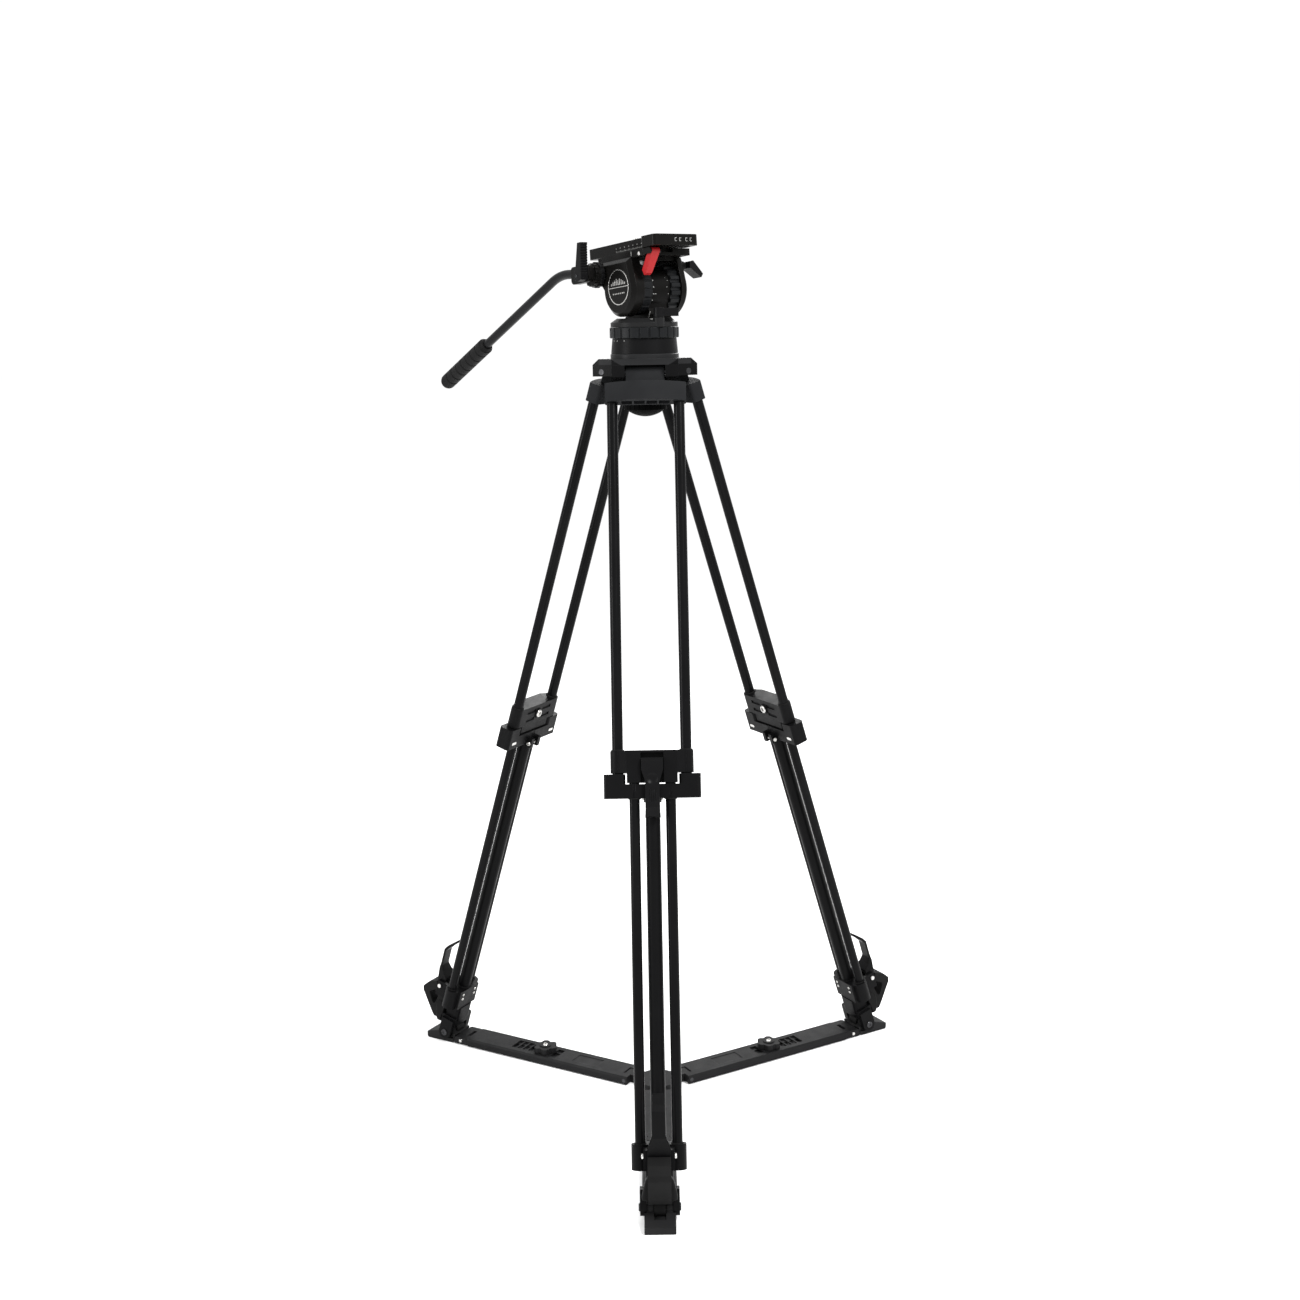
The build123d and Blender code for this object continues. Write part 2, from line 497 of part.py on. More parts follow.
def badge_cover():
    shell = cover(BADGE_NEAR, BADGE_FAR)
    shell = chamfer(shell.faces().sort_by(Axis.Y)[0].edges(), 5.5)
    shell = shell + cyl_y(ROSETTE_R, -ROSETTE_SIDE, BADGE_FAR - 9, HANDLE_X, HANDLE_Z)
    shell = shell - cyl_y(BOLT_R + TURN_GAP, -ROSETTE_SIDE - 1, BADGE_FAR - 5, HANDLE_X, HANDLE_Z)
    return shell - cyl_y(AXLE_R, AXLE_NEAR, BADGE_FAR + 1, 0, TILT_Z)


def plain_cover():
    shell = cover(PLAIN_NEAR, PLAIN_FAR)
    shell = chamfer(shell.faces().sort_by(Axis.Y)[-1].edges(), 4)
    shell = shell + cyl_y(7, PLAIN_FAR - 5, TILT_LOCK_BOSS, TILT_LOCK_X, TILT_LOCK_Z)
    return shell - cyl_y(AXLE_R, PLAIN_NEAR - 1, AXLE_FAR, 0, TILT_Z)


def tilt_lock_lever():
    x, y, z = TILT_LOCK_X, TILT_LOCK_BOSS + AIR_GAP, TILT_LOCK_Z
    stem = cyl_y(5.5, y, y + 8, x, z)
    outline = [(y + 3, z + 5), (y + 9, z + 6), (y + 25, z - 12), (y + 22, z - 17), (y + 3, z - 4)]
    paddle = extrude(Plane.YZ * make_face(Polyline(*outline, close=True)), 19)
    return stem + Pos(x - 5, 0, 0) * paddle


def tilt_platform():
    body = block(PLATFORM_BACK, PLATFORM_FRONT, PLATFORM_NEAR, PLATFORM_FAR, COVER_TOP, PLATFORM_TOP)
    body = body + block(PLATFORM_BACK + 6, COVER_FRONT - 4, BADGE_FAR, PLAIN_NEAR, PLATFORM_LOW, COVER_TOP + 1)
    channel = TONGUE_HALF + AIR_GAP
    body = body - block(PLATFORM_BACK - 1, PLATFORM_FRONT + 1, -channel, channel,
                        TONGUE_LOW - AIR_GAP, PLATFORM_TOP + 1)
    ear_near, ear_far = RED_NEAR - AIR_GAP, RED_FAR + AIR_GAP
    for near, far in ((ear_near - 2.6, ear_near), (ear_far, ear_far + 1.8)):
        ear = block(PLATFORM_FRONT - 2, RED_X, near, far, RED_Z - EAR_R, RED_Z + EAR_R)
        body = body + ear + cyl_y(EAR_R, near, far, RED_X, RED_Z)
    return body + cyl_y(LEVER_PIN_R, ear_near - 1, ear_far + 1, RED_X, RED_Z)


def sliding_plate():
    rail = soften(block(RAIL_BACK, NOSE_BACK + 5, -RAIL_HALF, RAIL_HALF, RAIL_LOW, SEAT_TOP), 3, Axis.Z)
    nose = soften(block(NOSE_BACK, NOSE_FRONT, -NOSE_HALF, NOSE_HALF, RAIL_LOW, SEAT_TOP), 6, Axis.Z)
    tongue = block(RAIL_BACK + 6, NOSE_BACK - 5, -TONGUE_HALF, TONGUE_HALF, TONGUE_LOW, RAIL_LOW + 1)
    plate = rail + nose + tongue
    slot_half = SCREW_NECK_R + AIR_GAP
    plate = plate - block(SCREW_X - 20, SCREW_X + 20, -slot_half, slot_half, TONGUE_LOW - 1, SEAT_TOP + 1)
    return plate - block(SCREW_X - 26, SCREW_X + 26, -WELL_HALF, WELL_HALF, TONGUE_LOW - 1, WELL_TOP)


def camera_screw():
    """Captive screw: a thin neck in the plate's slot under a full-size thread."""
    seat = SEAT_TOP + 0.2
    screw = cyl(SCREW_R, seat, seat + SCREW_LENGTH, SCREW_X)
    neck = cyl(SCREW_NECK_R, WELL_TOP - 2, seat + 1, SCREW_X)
    head = cyl(SCREW_HEAD_R, WELL_TOP - 5, WELL_TOP - AIR_GAP, SCREW_X)
    head = head - block(SCREW_X - 10, SCREW_X + 10, -0.8, 0.8, WELL_TOP - 6, WELL_TOP - 3)
    return screw + neck + head


def plate_lock_lever():
    """Lock lever that hangs from its pin, down and back under the platform."""
    tip_x, tip_z = RED_X - 20, RED_Z - 25.8
    back_x, back_z = -0.79 * EAR_R, 0.613 * EAR_R
    side = side_profile([(RED_X + back_x, RED_Z + back_z), (RED_X - back_x, RED_Z - back_z),
                         (tip_x - back_x + 1.5, tip_z - back_z), (tip_x, tip_z - 5),
                         (tip_x + back_x, tip_z + back_z)], 8)
    lever = side + cyl_y(EAR_R, -8, 8, RED_X, RED_Z)
    wide, narrow = (RED_FAR - RED_NEAR) / 2, 4.6
    face = [(-wide, RED_Z + 10), (wide, RED_Z + 10), (wide, RED_Z - 6), (narrow, tip_z - 10),
            (-narrow, tip_z - 10), (-wide, RED_Z - 6)]
    lever = lever & extrude(Plane.YZ * make_face(Polyline(*face, close=True)), 100)
    lever = lever - cyl_y(LEVER_PIN_R + TURN_GAP, -10, 10, RED_X, RED_Z)
    return Pos(0, (RED_NEAR + RED_FAR) / 2, 0) * lever


def bar_points():
    """Route of the pan bar's centre line: a short run, one bend, then straight to its end."""
    return [(HANDLE_X - 14, -BAR_SIDE, HANDLE_Z + 3.3), (BAR_BEND_X, -BAR_SIDE, BAR_BEND_Z),
            (BAR_END_X, -BAR_SIDE, BAR_END_Z)]


def pan_bar():
    path = FilletPolyline(*bar_points(), radius=BAR_BEND_R)
    section = Plane(origin=path @ 0, z_dir=path % 0) * Circle(BAR_R)
    return sweep(section, path)


def handle_clamp():
    inner = -ROSETTE_SIDE - AIR_GAP
    disc = cyl_y(ROSETTE_R, -BAR_SIDE + 2, inner, HANDLE_X, HANDLE_Z)
    for i in range(16):
        angle = 2 * pi * i / 16
        x, z = HANDLE_X + ROSETTE_R * cos(angle), HANDLE_Z + ROSETTE_R * sin(angle)
        disc = disc - cyl_y(1.6, -BAR_SIDE + 1, inner - 1.5, x, z)
    socket = block(HANDLE_X - 34, HANDLE_X + 10, -SOCKET_SIDE, -BAR_SIDE + 3, HANDLE_Z - 10, HANDLE_Z + 14)
    socket = soften(socket, 6, Axis.Y)
    body = disc + socket
    body = body - cyl_y(BOLT_R + TURN_GAP, -SOCKET_SIDE - 1, inner + 1, HANDLE_X, HANDLE_Z)
    return body - pan_bar()


def clamp_wing():
    near, far = -SOCKET_SIDE - AIR_GAP, -WING_SIDE
    hub = cyl_y(8.5, far, near, HANDLE_X, HANDLE_Z)
    stud = cyl_y(BOLT_R, near - 1, BADGE_FAR - 6, HANDLE_X, HANDLE_Z)
    low, face_x, lean = HANDLE_Z - 7, HANDLE_X + 8, 0.09
    top_x = face_x + lean * (WING_TOP - low)
    paddle = side_profile([(face_x - 16, low), (face_x, low), (top_x, WING_TOP), (top_x - 8, WING_TOP)],
                          (near - far) / 2)
    paddle = Pos(0, (near + far) / 2, 0) * paddle
    for i in range(11):
        height = HANDLE_Z + 2 + 3.6 * i
        x = face_x + lean * (height - low)
        paddle = paddle - block(x - 0.8, x + 3, far - 1, near + 1, height, height + 1.5)
    return hub + stud + paddle


def handle_grip():
    end = Vector(*bar_points()[2])
    along = (end - Vector(*bar_points()[1])).normalized()
    body = cyl(GRIP_R, 0, GRIP_LENGTH - GRIP_R)
    body = body + Pos(0, 0, GRIP_LENGTH - GRIP_R) * Sphere(GRIP_R)
    body = body - cyl(GRIP_R + 1, -1, 3) + Cone(8.5, GRIP_R - 0.5, 8)
    for i in range(GRIP_GROOVES):
        body = body - Pos(0, 0, 16 + 17 * i) * Torus(GRIP_R + 1.5, 2.6)
    bar_depth = GRIP_LENGTH - 8
    body = body - cyl(BAR_R, -20, bar_depth)
    return Plane(origin=end - along * bar_depth, z_dir=along) * body


# ---- Write every node ----

LEG_PARTS = {
    "top_casting": top_casting, "upper_tubes": upper_tubes, "mid_slider": mid_slider, "mid_lever": mid_lever,
    "middle_tubes": middle_tubes, "collar": collar, "lower_bracket": lower_bracket, "lower_lever": lower_lever,
    "inner_leg": inner_leg,
}
FLOOR_PARTS = {"foot_pad": foot_pad, "arm_slider": arm_slider, "arm_knob": arm_knob}
CENTRE_PARTS = {
    "crown": crown, "leg_pivot_pins": leg_pivot_pins, "half_ball_base": half_ball_base, "bowl_knob": bowl_knob,
    "spreader_hub": spreader_hub, "hub_pins": hub_pins, "pan_drag_ring": pan_drag_ring,
}
HEAD_PARTS = {
    "head_body": head_body, "pan_lock_lever": pan_lock_lever, "tilt_drag_ring": tilt_drag_ring,
    "counterbalance_ring": counterbalance_ring,
}
CRADLE_PARTS = {
    "tilt_axle": tilt_axle, "badge_cover": badge_cover, "plain_cover": plain_cover,
    "tilt_lock_lever": tilt_lock_lever, "tilt_platform": tilt_platform, "sliding_plate": sliding_plate,
    "camera_screw": camera_screw, "plate_lock_lever": plate_lock_lever, "handle_clamp": handle_clamp,
    "clamp_wing": clamp_wing, "pan_bar": pan_bar, "handle_grip": handle_grip,
}


def write(name, shape):
    export_step(shape, f"parts/{name}.step")


os.makedirs("parts", exist_ok=True)
for name, build in LEG_PARTS.items():
    placed = on_leg(build())
    for leg, azimuth in LEGS.items():
        write(f"{leg}_{name}", Rot(0, 0, azimuth) * placed)
for name, build in FLOOR_PARTS.items():
    made = build()
    for leg, azimuth in LEGS.items():
        write(f"{leg}_{name}", Rot(0, 0, azimuth) * made)
sleeve = arm_sleeve()
write("arm_sleeves", Compound([Rot(0, 0, azimuth) * sleeve for azimuth in LEGS.values()]))
for name, build in CENTRE_PARTS.items():
    write(name, build())
for name, build in HEAD_PARTS.items():
    write(name, Rot(0, 0, HEAD_YAW) * build())
nose_up = Pos(0, 0, TILT_Z) * Rot(0, -HEAD_TILT, 0) * Pos(0, 0, -TILT_Z)
for name, build in CRADLE_PARTS.items():
    write(name, Rot(0, 0, HEAD_YAW) * nose_up * build())
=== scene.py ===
"""Looks of the tripod with fluid head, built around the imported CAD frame.

Local frames are in millimetres. A leg's frame has X outward, Y across and -Z down the leg from its pivot.
A floor frame has X along one spreader arm. The head's frame has X forward and the pan bar on -Y.
"""
import json
import math

import bmesh
import bpy
from mathutils import Matrix, Vector


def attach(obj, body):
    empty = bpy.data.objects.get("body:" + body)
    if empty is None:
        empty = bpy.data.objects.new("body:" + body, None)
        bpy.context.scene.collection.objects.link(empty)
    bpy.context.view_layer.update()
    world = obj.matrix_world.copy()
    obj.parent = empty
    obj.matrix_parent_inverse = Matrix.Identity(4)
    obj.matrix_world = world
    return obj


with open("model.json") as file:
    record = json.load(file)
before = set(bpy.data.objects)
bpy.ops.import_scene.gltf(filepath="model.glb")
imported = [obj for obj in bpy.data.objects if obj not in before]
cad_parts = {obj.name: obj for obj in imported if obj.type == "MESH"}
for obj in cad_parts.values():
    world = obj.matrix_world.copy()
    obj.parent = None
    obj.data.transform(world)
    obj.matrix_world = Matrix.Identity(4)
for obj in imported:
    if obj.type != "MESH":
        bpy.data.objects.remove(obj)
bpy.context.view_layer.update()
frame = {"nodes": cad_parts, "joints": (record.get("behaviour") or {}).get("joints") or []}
NODES = frame["nodes"]
JOINTS = {joint["name"]: joint for joint in frame["joints"]}
LEGS = ("front", "right", "left")
SIDES = (-1, 1)
MM = 0.001

# ---- Driving sizes, in millimetres ----
TUBE_UPPER_R, TUBE_MIDDLE_R, TUBE_INNER_R = 7.5, 7.0, 10.0
UPPER_HALF_SPACING, MIDDLE_HALF_SPACING, MIDDLE_OUT = 46.0, 24.25, 6.0
LEG_LENGTH = 1116.445
SLIDER_TOP, COLLAR_END, BRACKET_TOP = 522.0, 586.0, 1035.0
BLOCK_BACK, BRACKET_BACK = -10.0, -12.0
CLAMP_BOLT_DOWN, INSERT_DOWN = 537.0, 577.0
COLLAR_BOLT_OUT, COLLAR_BOLT_DOWN = -14.0, 585.0
LOW_LEVER_X, LOW_LEVER_DOWN, LOW_LEVER_PIN_END = 32.0, 1046.0, 20.5
BRACKET_SCREW_SIDE, BRACKET_SCREW_DOWNS = 15.5, (1042.0, 1050.0)
FORK_OUTSIDE = 26.0
ARM_TOP, KNOB_PLACE, ARM_PIN_PLACE, ARM_PIN_END = 14.0, 205.0, 356.0, 22.2
PIN_HEIGHT = 7.5
TILT_Z = 1193.0
COVER_OUT = 44.0
ROSETTE_X, ROSETTE_Z, WING_OUTSIDE = -43.0, 1217.7, -80.0
RAIL_HALF, RAIL_LOW, NOSE_FRONT = 26.0, 1243.3, 83.0
PLATFORM_SIDE = -33.0
DRUM_R, SADDLE_FRONT, SADDLE_SIDE = 31.0, 23.0, -8.7
DISC_TOP, BASE_DOT_R, BASE_DOT_Z = 1154.0, 45.2, 1123.5
SEAT_TOP = 1258.0


# ---- Local frames ----


def axes_matrix(origin, x_axis, y_axis, z_axis):
    """Matrix from a local frame in millimetres to the row frame in metres."""
    columns = Matrix((x_axis, y_axis, z_axis)).transposed().to_4x4()
    return Matrix.Translation(origin) @ columns @ Matrix.Scale(MM, 4)


def leg_frame(leg):
    spread = JOINTS[f"{leg}_leg_spread"]
    across = -Vector(spread["axis"])
    up_leg = -Vector(JOINTS[f"{leg}_middle_slide"]["axis"])
    return axes_matrix(Vector(spread["pos_m"]), across.cross(up_leg), across, up_leg)


def floor_frame(leg):
    outward = Vector(JOINTS[f"{leg}_arm_slide"]["axis"])
    up = Vector((0, 0, 1))
    return axes_matrix(Vector((0, 0, 0)), outward, up.cross(outward), up)


def head_frame():
    across = -Vector(JOINTS["tilt"]["axis"])
    up = Vector((0, 0, 1))
    return axes_matrix(Vector((0, 0, 0)), across.cross(up), across, up)


def cradle_frame():
    """Frame of the tilting cradle, level with its own plate, with the tilt axis at height TILT_Z."""
    ahead = Vector(JOINTS["plate_slide"]["axis"])
    across = -Vector(JOINTS["tilt"]["axis"])
    up = ahead.cross(across)
    pivot = Vector((0, 0, TILT_Z * MM))
    return axes_matrix(pivot - up * TILT_Z * MM, ahead, across, up)


LEG = {leg: leg_frame(leg) for leg in LEGS}
FLOOR = {leg: floor_frame(leg) for leg in LEGS}
HEAD = head_frame()
CRADLE = cradle_frame()


# ---- Mesh helpers: each returns a bmesh in millimetres ----


def lathe(profile, steps=40, hexagon_from=None):
    """Turned shape about Z. Profile points at or after hexagon_from lie on a hexagon, as in a socket."""
    bm = bmesh.new()
    rings = []
    for index, (radius, height) in enumerate(profile):
        if radius < 1e-6:
            rings.append([bm.verts.new((0, 0, height))])
            continue
        ring = []
        for step in range(steps):
            angle = 2 * math.pi * step / steps
            reach = radius
            if hexagon_from is not None and index >= hexagon_from:
                reach = radius / math.cos((angle % (math.pi / 3)) - math.pi / 6)
            ring.append(bm.verts.new((reach * math.cos(angle), reach * math.sin(angle), height)))
        rings.append(ring)
    for low, high in zip(rings, rings[1:]):
        join_rings(bm, low, high)
    for ring, flip in ((rings[0], True), (rings[-1], False)):
        if len(ring) > 1:
            bm.faces.new(ring[::-1] if flip else ring)
    return bm


def join_rings(bm, low, high):
    """Faces between two rings, either of which may be one point."""
    count = max(len(low), len(high))
    for i in range(count):
        j = (i + 1) % count
        if len(low) == 1:
            bm.faces.new((low[0], high[j], high[i])[::-1])
        elif len(high) == 1:
            bm.faces.new((low[i], low[j], high[0]))
        else:
            bm.faces.new((low[i], low[j], high[j], high[i]))


def soften(bm, sharper_than, offset, segments):
    """Round every edge that turns by more than an angle, in radians."""
    edges = [edge for edge in bm.edges if edge.calc_face_angle(0) > sharper_than]
    bmesh.ops.bevel(bm, geom=edges, offset=offset, segments=segments, profile=0.5, affect="EDGES")


def prism(outline, low, high, bevel=0.0, hole=None, segments=3):
    """Outline in XY between two heights, with softened edges and one optional hole of as many points."""
    bm = bmesh.new()
    rims = []
    for points in (outline, hole):
        if points:
            rims.append([[bm.verts.new((x, y, z)) for x, y in points] for z in (low, high)])
    count = len(outline)
    for index, (bottom, top) in enumerate(rims):
        for i in range(count):
            j = (i + 1) % count
            side = (bottom[i], bottom[j], top[j], top[i])
            bm.faces.new(side if index == 0 else side[::-1])
    if hole:
        for i in range(count):
            j = (i + 1) % count
            bm.faces.new((rims[0][1][i], rims[0][1][j], rims[1][1][j], rims[1][1][i]))
            bm.faces.new((rims[0][0][j], rims[0][0][i], rims[1][0][i], rims[1][0][j]))
    else:
        bm.faces.new(rims[0][1])
        bm.faces.new(rims[0][0][::-1])
    if bevel:
        soften(bm, 0.7, bevel, segments)
    return bm


def rounded(points, radii, steps=6):
    """Outline with each corner turned into an arc, the same number of points for every corner."""
    result = []
    count = len(points)
    for i, point in enumerate(points):
        radius = radii[i] if isinstance(radii, (list, tuple)) else radii
        corner = Vector(point)
        before = (Vector(points[i - 1]) - corner).normalized()
        after = (Vector(points[(i + 1) % count]) - corner).normalized()
        half = before.angle(after) / 2
        reach = radius / math.tan(half)
        start, end = corner + before * reach, corner + after * reach
        for step in range(steps + 1):
            share = step / steps
            bulge = start.lerp(corner, share).lerp(corner.lerp(end, share), share)
            result.append((bulge.x, bulge.y))
    return result


def box(x0, x1, y0, y1, z0, z1, bevel=0.3, segments=2):
    return prism([(x0, y0), (x1, y0), (x1, y1), (x0, y1)], z0, z1, bevel, segments=segments)


def turned(bm, matrix):
    bmesh.ops.transform(bm, matrix=matrix, verts=bm.verts)
    return bm


def joined(parts):
    """One bmesh that holds all of the given ones."""
    whole = bmesh.new()
    for part in parts:
        mesh = bpy.data.meshes.new("part")
        part.to_mesh(mesh)
        part.free()
        whole.from_mesh(mesh)
        bpy.data.meshes.remove(mesh)
    return whole


def facing(direction, place):
    """Matrix that turns +Z to a direction and then moves to a place."""
    turn = Vector(direction).to_track_quat("Z", "Y").to_matrix().to_4x4()
    return Matrix.Translation(Vector(place)) @ turn


def moved(x, y, z):
    """Matrix that moves by three distances."""
    return Matrix.Translation((x, y, z))


def side_view():
    """Turns an XY outline with heights along Z into the XZ plane with heights along -Y."""
    return Matrix.Rotation(math.pi / 2, 4, "X")


QUARTER_TURN = Matrix.Rotation(math.pi / 2, 4, "Z")


def piece(name, bm, place, body, material):
    """Turns a bmesh into a finished piece that rides on a body."""
    bmesh.ops.transform(bm, matrix=place, verts=bm.verts)
    bmesh.ops.recalc_face_normals(bm, faces=bm.faces)
    sharp = math.radians(38)
    for face in bm.faces:
        face.smooth = True
    for edge in bm.edges:
        edge.smooth = edge.calc_face_angle(0) < sharp
    mesh = bpy.data.meshes.new(name)
    bm.to_mesh(mesh)
    bm.free()
    made = bpy.data.objects.new(name, mesh)
    bpy.context.scene.collection.objects.link(made)
    mesh.materials.append(material)
    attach(made, body)
    return made


# ---- Materials ----


class Nodes:
    """Short-hand for building one material's nodes."""

    def __init__(self, name):
        self.material = bpy.data.materials.new(name)
        self.material.use_nodes = True
        self.tree = self.material.node_tree
        self.shader = self.tree.nodes["Principled BSDF"]
        self.coordinates = self.add("ShaderNodeTexCoord").outputs["Object"]

    def add(self, kind, **values):
        node = self.tree.nodes.new(kind)
        for key, value in values.items():
            setattr(node, key, value)
        return node

    def link(self, output, target):
        self.tree.links.new(output, target)

    def noise(self, scale, detail=3.0, roughness=0.55, vector=None):
        node = self.add("ShaderNodeTexNoise")
        node.inputs["Scale"].default_value = scale
        node.inputs["Detail"].default_value = detail
        node.inputs["Roughness"].default_value = roughness
        self.link(vector or self.coordinates, node.inputs["Vector"])
        return node.outputs["Fac"]

    def ranged(self, value, low, high, from_low=0.3, from_high=0.7):
        node = self.add("ShaderNodeMapRange")
        limits = {"From Min": from_low, "From Max": from_high, "To Min": low, "To Max": high}
        for key, number in limits.items():
            node.inputs[key].default_value = number
        self.link(value, node.inputs["Value"])
        return node.outputs["Result"]

    def step(self, value, place, blend, rising=True):
        """0 to 1 across a short blend at one place, or 1 to 0 where it isn't rising."""
        low, high = (0.0, 1.0) if rising else (1.0, 0.0)
        return self.ranged(value, low, high, place - blend, place + blend)

    def product(self, first, second):
        node = self.add("ShaderNodeMath", operation="MULTIPLY")
        self.link(first, node.inputs[0])
        self.link(second, node.inputs[1])
        return node.outputs["Value"]

    def mixed(self, factor, first, second):
        """Colour between two, by a factor. Each colour is a value or an output."""
        node = self.add("ShaderNodeMix", data_type="RGBA")
        self.link(factor, node.inputs["Factor"])
        for key, colour in (("A", first), ("B", second)):
            socket = [s for s in node.inputs if s.name == key and s.type == "RGBA"][0]
            if isinstance(colour, tuple):
                socket.default_value = (*colour, 1)
            else:
                self.link(colour, socket)
        return [s for s in node.outputs if s.type == "RGBA"][0]

    def edges(self, radius):
        """(rounded normal, 0 on faces and rising to 1 along edges)."""
        bevel = self.add("ShaderNodeBevel", samples=6)
        bevel.inputs["Radius"].default_value = radius
        geometry = self.add("ShaderNodeNewGeometry")
        dot = self.add("ShaderNodeVectorMath", operation="DOT_PRODUCT")
        self.link(bevel.outputs["Normal"], dot.inputs[0])
        self.link(geometry.outputs["Normal"], dot.inputs[1])
        return bevel.outputs["Normal"], self.ranged(dot.outputs["Value"], 1.0, 0.0, 0.80, 0.99)

    def bump(self, height, distance, normal=None, strength=1.0):
        node = self.add("ShaderNodeBump")
        node.inputs["Distance"].default_value = distance
        node.inputs["Strength"].default_value = strength
        self.link(height, node.inputs["Height"])
        if normal:
            self.link(normal, node.inputs["Normal"])
        return node.outputs["Normal"]


def finish_material(name, colour, roughness, specular=0.5, cloud=1.35, cloud_scale=14.0, grain_scale=1500.0,
                    grain=0.00006, round_edge=0.0005, wear=None, wear_amount=0.5, spread=0.06, coat=0.0):
    """Moulded, cast or coated surface: cloudy colour, uneven gloss, fine grain and lightly worn edges."""
    n = Nodes(name)
    n.shader.inputs["Specular IOR Level"].default_value = specular
    n.shader.inputs["Coat Weight"].default_value = coat
    lighter = tuple(min(1.0, channel * cloud) for channel in colour)
    tint = n.mixed(n.ranged(n.noise(cloud_scale), 0.0, 1.0), colour, lighter)
    normal, edge = n.edges(round_edge)
    if wear:
        patchy = n.ranged(n.noise(160.0), 0.0, wear_amount, 0.42, 0.62)
        tint = n.mixed(n.product(edge, patchy), tint, wear)
    n.link(tint, n.shader.inputs["Base Color"])
    gloss = n.ranged(n.noise(45.0, 5.0), roughness - spread, roughness + spread)
    n.link(gloss, n.shader.inputs["Roughness"])
    n.link(n.bump(n.noise(grain_scale, 2.0), grain, normal), n.shader.inputs["Normal"])
    return n.material


COATED_SPECULAR, TUBE_SPECULAR = 0.06, 0.055
COAT_WEAR, SCUFF_COLOUR = (0.035, 0.035, 0.036), (0.02, 0.02, 0.021)


def two_tone_material(name, coat, lighter, low, high, reach):
    """Dark coat with a lighter one between two heights, as far out as reach (metres from the axis)."""
    n = Nodes(name)
    n.shader.inputs["Specular IOR Level"].default_value = COATED_SPECULAR
    split = n.add("ShaderNodeSeparateXYZ")
    n.link(n.coordinates, split.inputs["Vector"])
    flat = n.add("ShaderNodeCombineXYZ")
    n.link(split.outputs["X"], flat.inputs["X"])
    n.link(split.outputs["Y"], flat.inputs["Y"])
    radius = n.add("ShaderNodeVectorMath", operation="LENGTH")
    n.link(flat.outputs["Vector"], radius.inputs[0])
    above = n.step(split.outputs["Z"], low, 0.0002)
    below = n.step(split.outputs["Z"], high, 0.0002, rising=False)
    inside = n.step(radius.outputs["Value"], reach, 0.0004, rising=False)
    normal, edge = n.edges(0.0007)
    tint = n.mixed(n.product(n.product(above, below), inside), coat, lighter)
    patchy = n.ranged(n.noise(160.0), 0.0, 0.5, 0.42, 0.62)
    tint = n.mixed(n.product(edge, patchy), tint, COAT_WEAR)
    n.link(tint, n.shader.inputs["Base Color"])
    n.link(n.ranged(n.noise(45.0, 5.0), 0.30, 0.42), n.shader.inputs["Roughness"])
    n.link(n.bump(n.noise(1100.0, 2.0), 0.00008, normal), n.shader.inputs["Normal"])
    return n.material


def tube_material(name, place, colour, roughness):
    """Black anodised tube: faint drawn lines along the tube, handled patches and tiny scuffs."""
    n = Nodes(name)
    n.shader.inputs["Specular IOR Level"].default_value = TUBE_SPECULAR
    along = n.add("ShaderNodeMapping", vector_type="POINT")
    turn = place.to_3x3().normalized().inverted().to_euler()
    along.inputs["Rotation"].default_value = turn
    n.link(n.coordinates, along.inputs["Vector"])
    drawn = n.add("ShaderNodeMapping", vector_type="POINT")
    drawn.inputs["Scale"].default_value = (1.0, 1.0, 0.012)
    n.link(along.outputs["Vector"], drawn.inputs["Vector"])
    lines = n.noise(1400.0, 2.0, 0.5, drawn.outputs["Vector"])
    scuffs = n.ranged(n.noise(260.0, 4.0, 0.7), 0.0, 0.55, 0.66, 0.74)
    lighter = tuple(channel * 1.7 for channel in colour)
    tint = n.mixed(n.ranged(n.noise(9.0), 0.0, 1.0), colour, lighter)
    n.link(n.mixed(scuffs, tint, SCUFF_COLOUR), n.shader.inputs["Base Color"])
    n.link(n.ranged(lines, roughness - 0.07, roughness + 0.07), n.shader.inputs["Roughness"])
    n.link(n.bump(lines, 0.000008), n.shader.inputs["Normal"])
    return n.material


def steel_material(name, colour, roughness):
    """Bright plated steel with small stains and softened edges."""
    n = Nodes(name)
    n.shader.inputs["Metallic"].default_value = 1.0
    normal, edge = n.edges(0.0003)
    stained = tuple(channel * 0.55 for channel in colour)
    n.link(n.mixed(n.ranged(n.noise(220.0, 4.0), 0.0, 0.8), colour, stained), n.shader.inputs["Base Color"])
    n.link(n.ranged(n.noise(900.0), roughness - 0.08, roughness + 0.1), n.shader.inputs["Roughness"])
    n.link(n.bump(n.noise(2500.0), 0.00002, normal), n.shader.inputs["Normal"])
    return n.material


CASTING = finish_material("black_cast_coat", (0.0030, 0.0030, 0.0032), 0.38, specular=0.05, grain=0.00012,
                          wear=(0.035, 0.035, 0.036), grain_scale=1100.0)
BAND = finish_material("grey_cast_coat", (0.0120, 0.0123, 0.0130), 0.6, specular=0.012, grain=0.00014,
                       wear=(0.06, 0.06, 0.063), grain_scale=1000.0)
PLASTIC = finish_material("black_moulding", (0.0034, 0.0034, 0.0036), 0.33, specular=0.07, grain=0.00005,
                          wear=(0.028, 0.028, 0.028), round_edge=0.0007)
ARM_PLASTIC = finish_material("spreader_moulding", (0.0075, 0.0075, 0.0078), 0.46, specular=0.07,
                              grain=0.00012, wear=(0.05, 0.05, 0.05), round_edge=0.0007, cloud_scale=9.0)
HEAD_SHELL = finish_material("head_shell", (0.0028, 0.0026, 0.0024), 0.28, specular=0.075, grain=0.00005,
                             wear=(0.035, 0.033, 0.03), round_edge=0.0009)
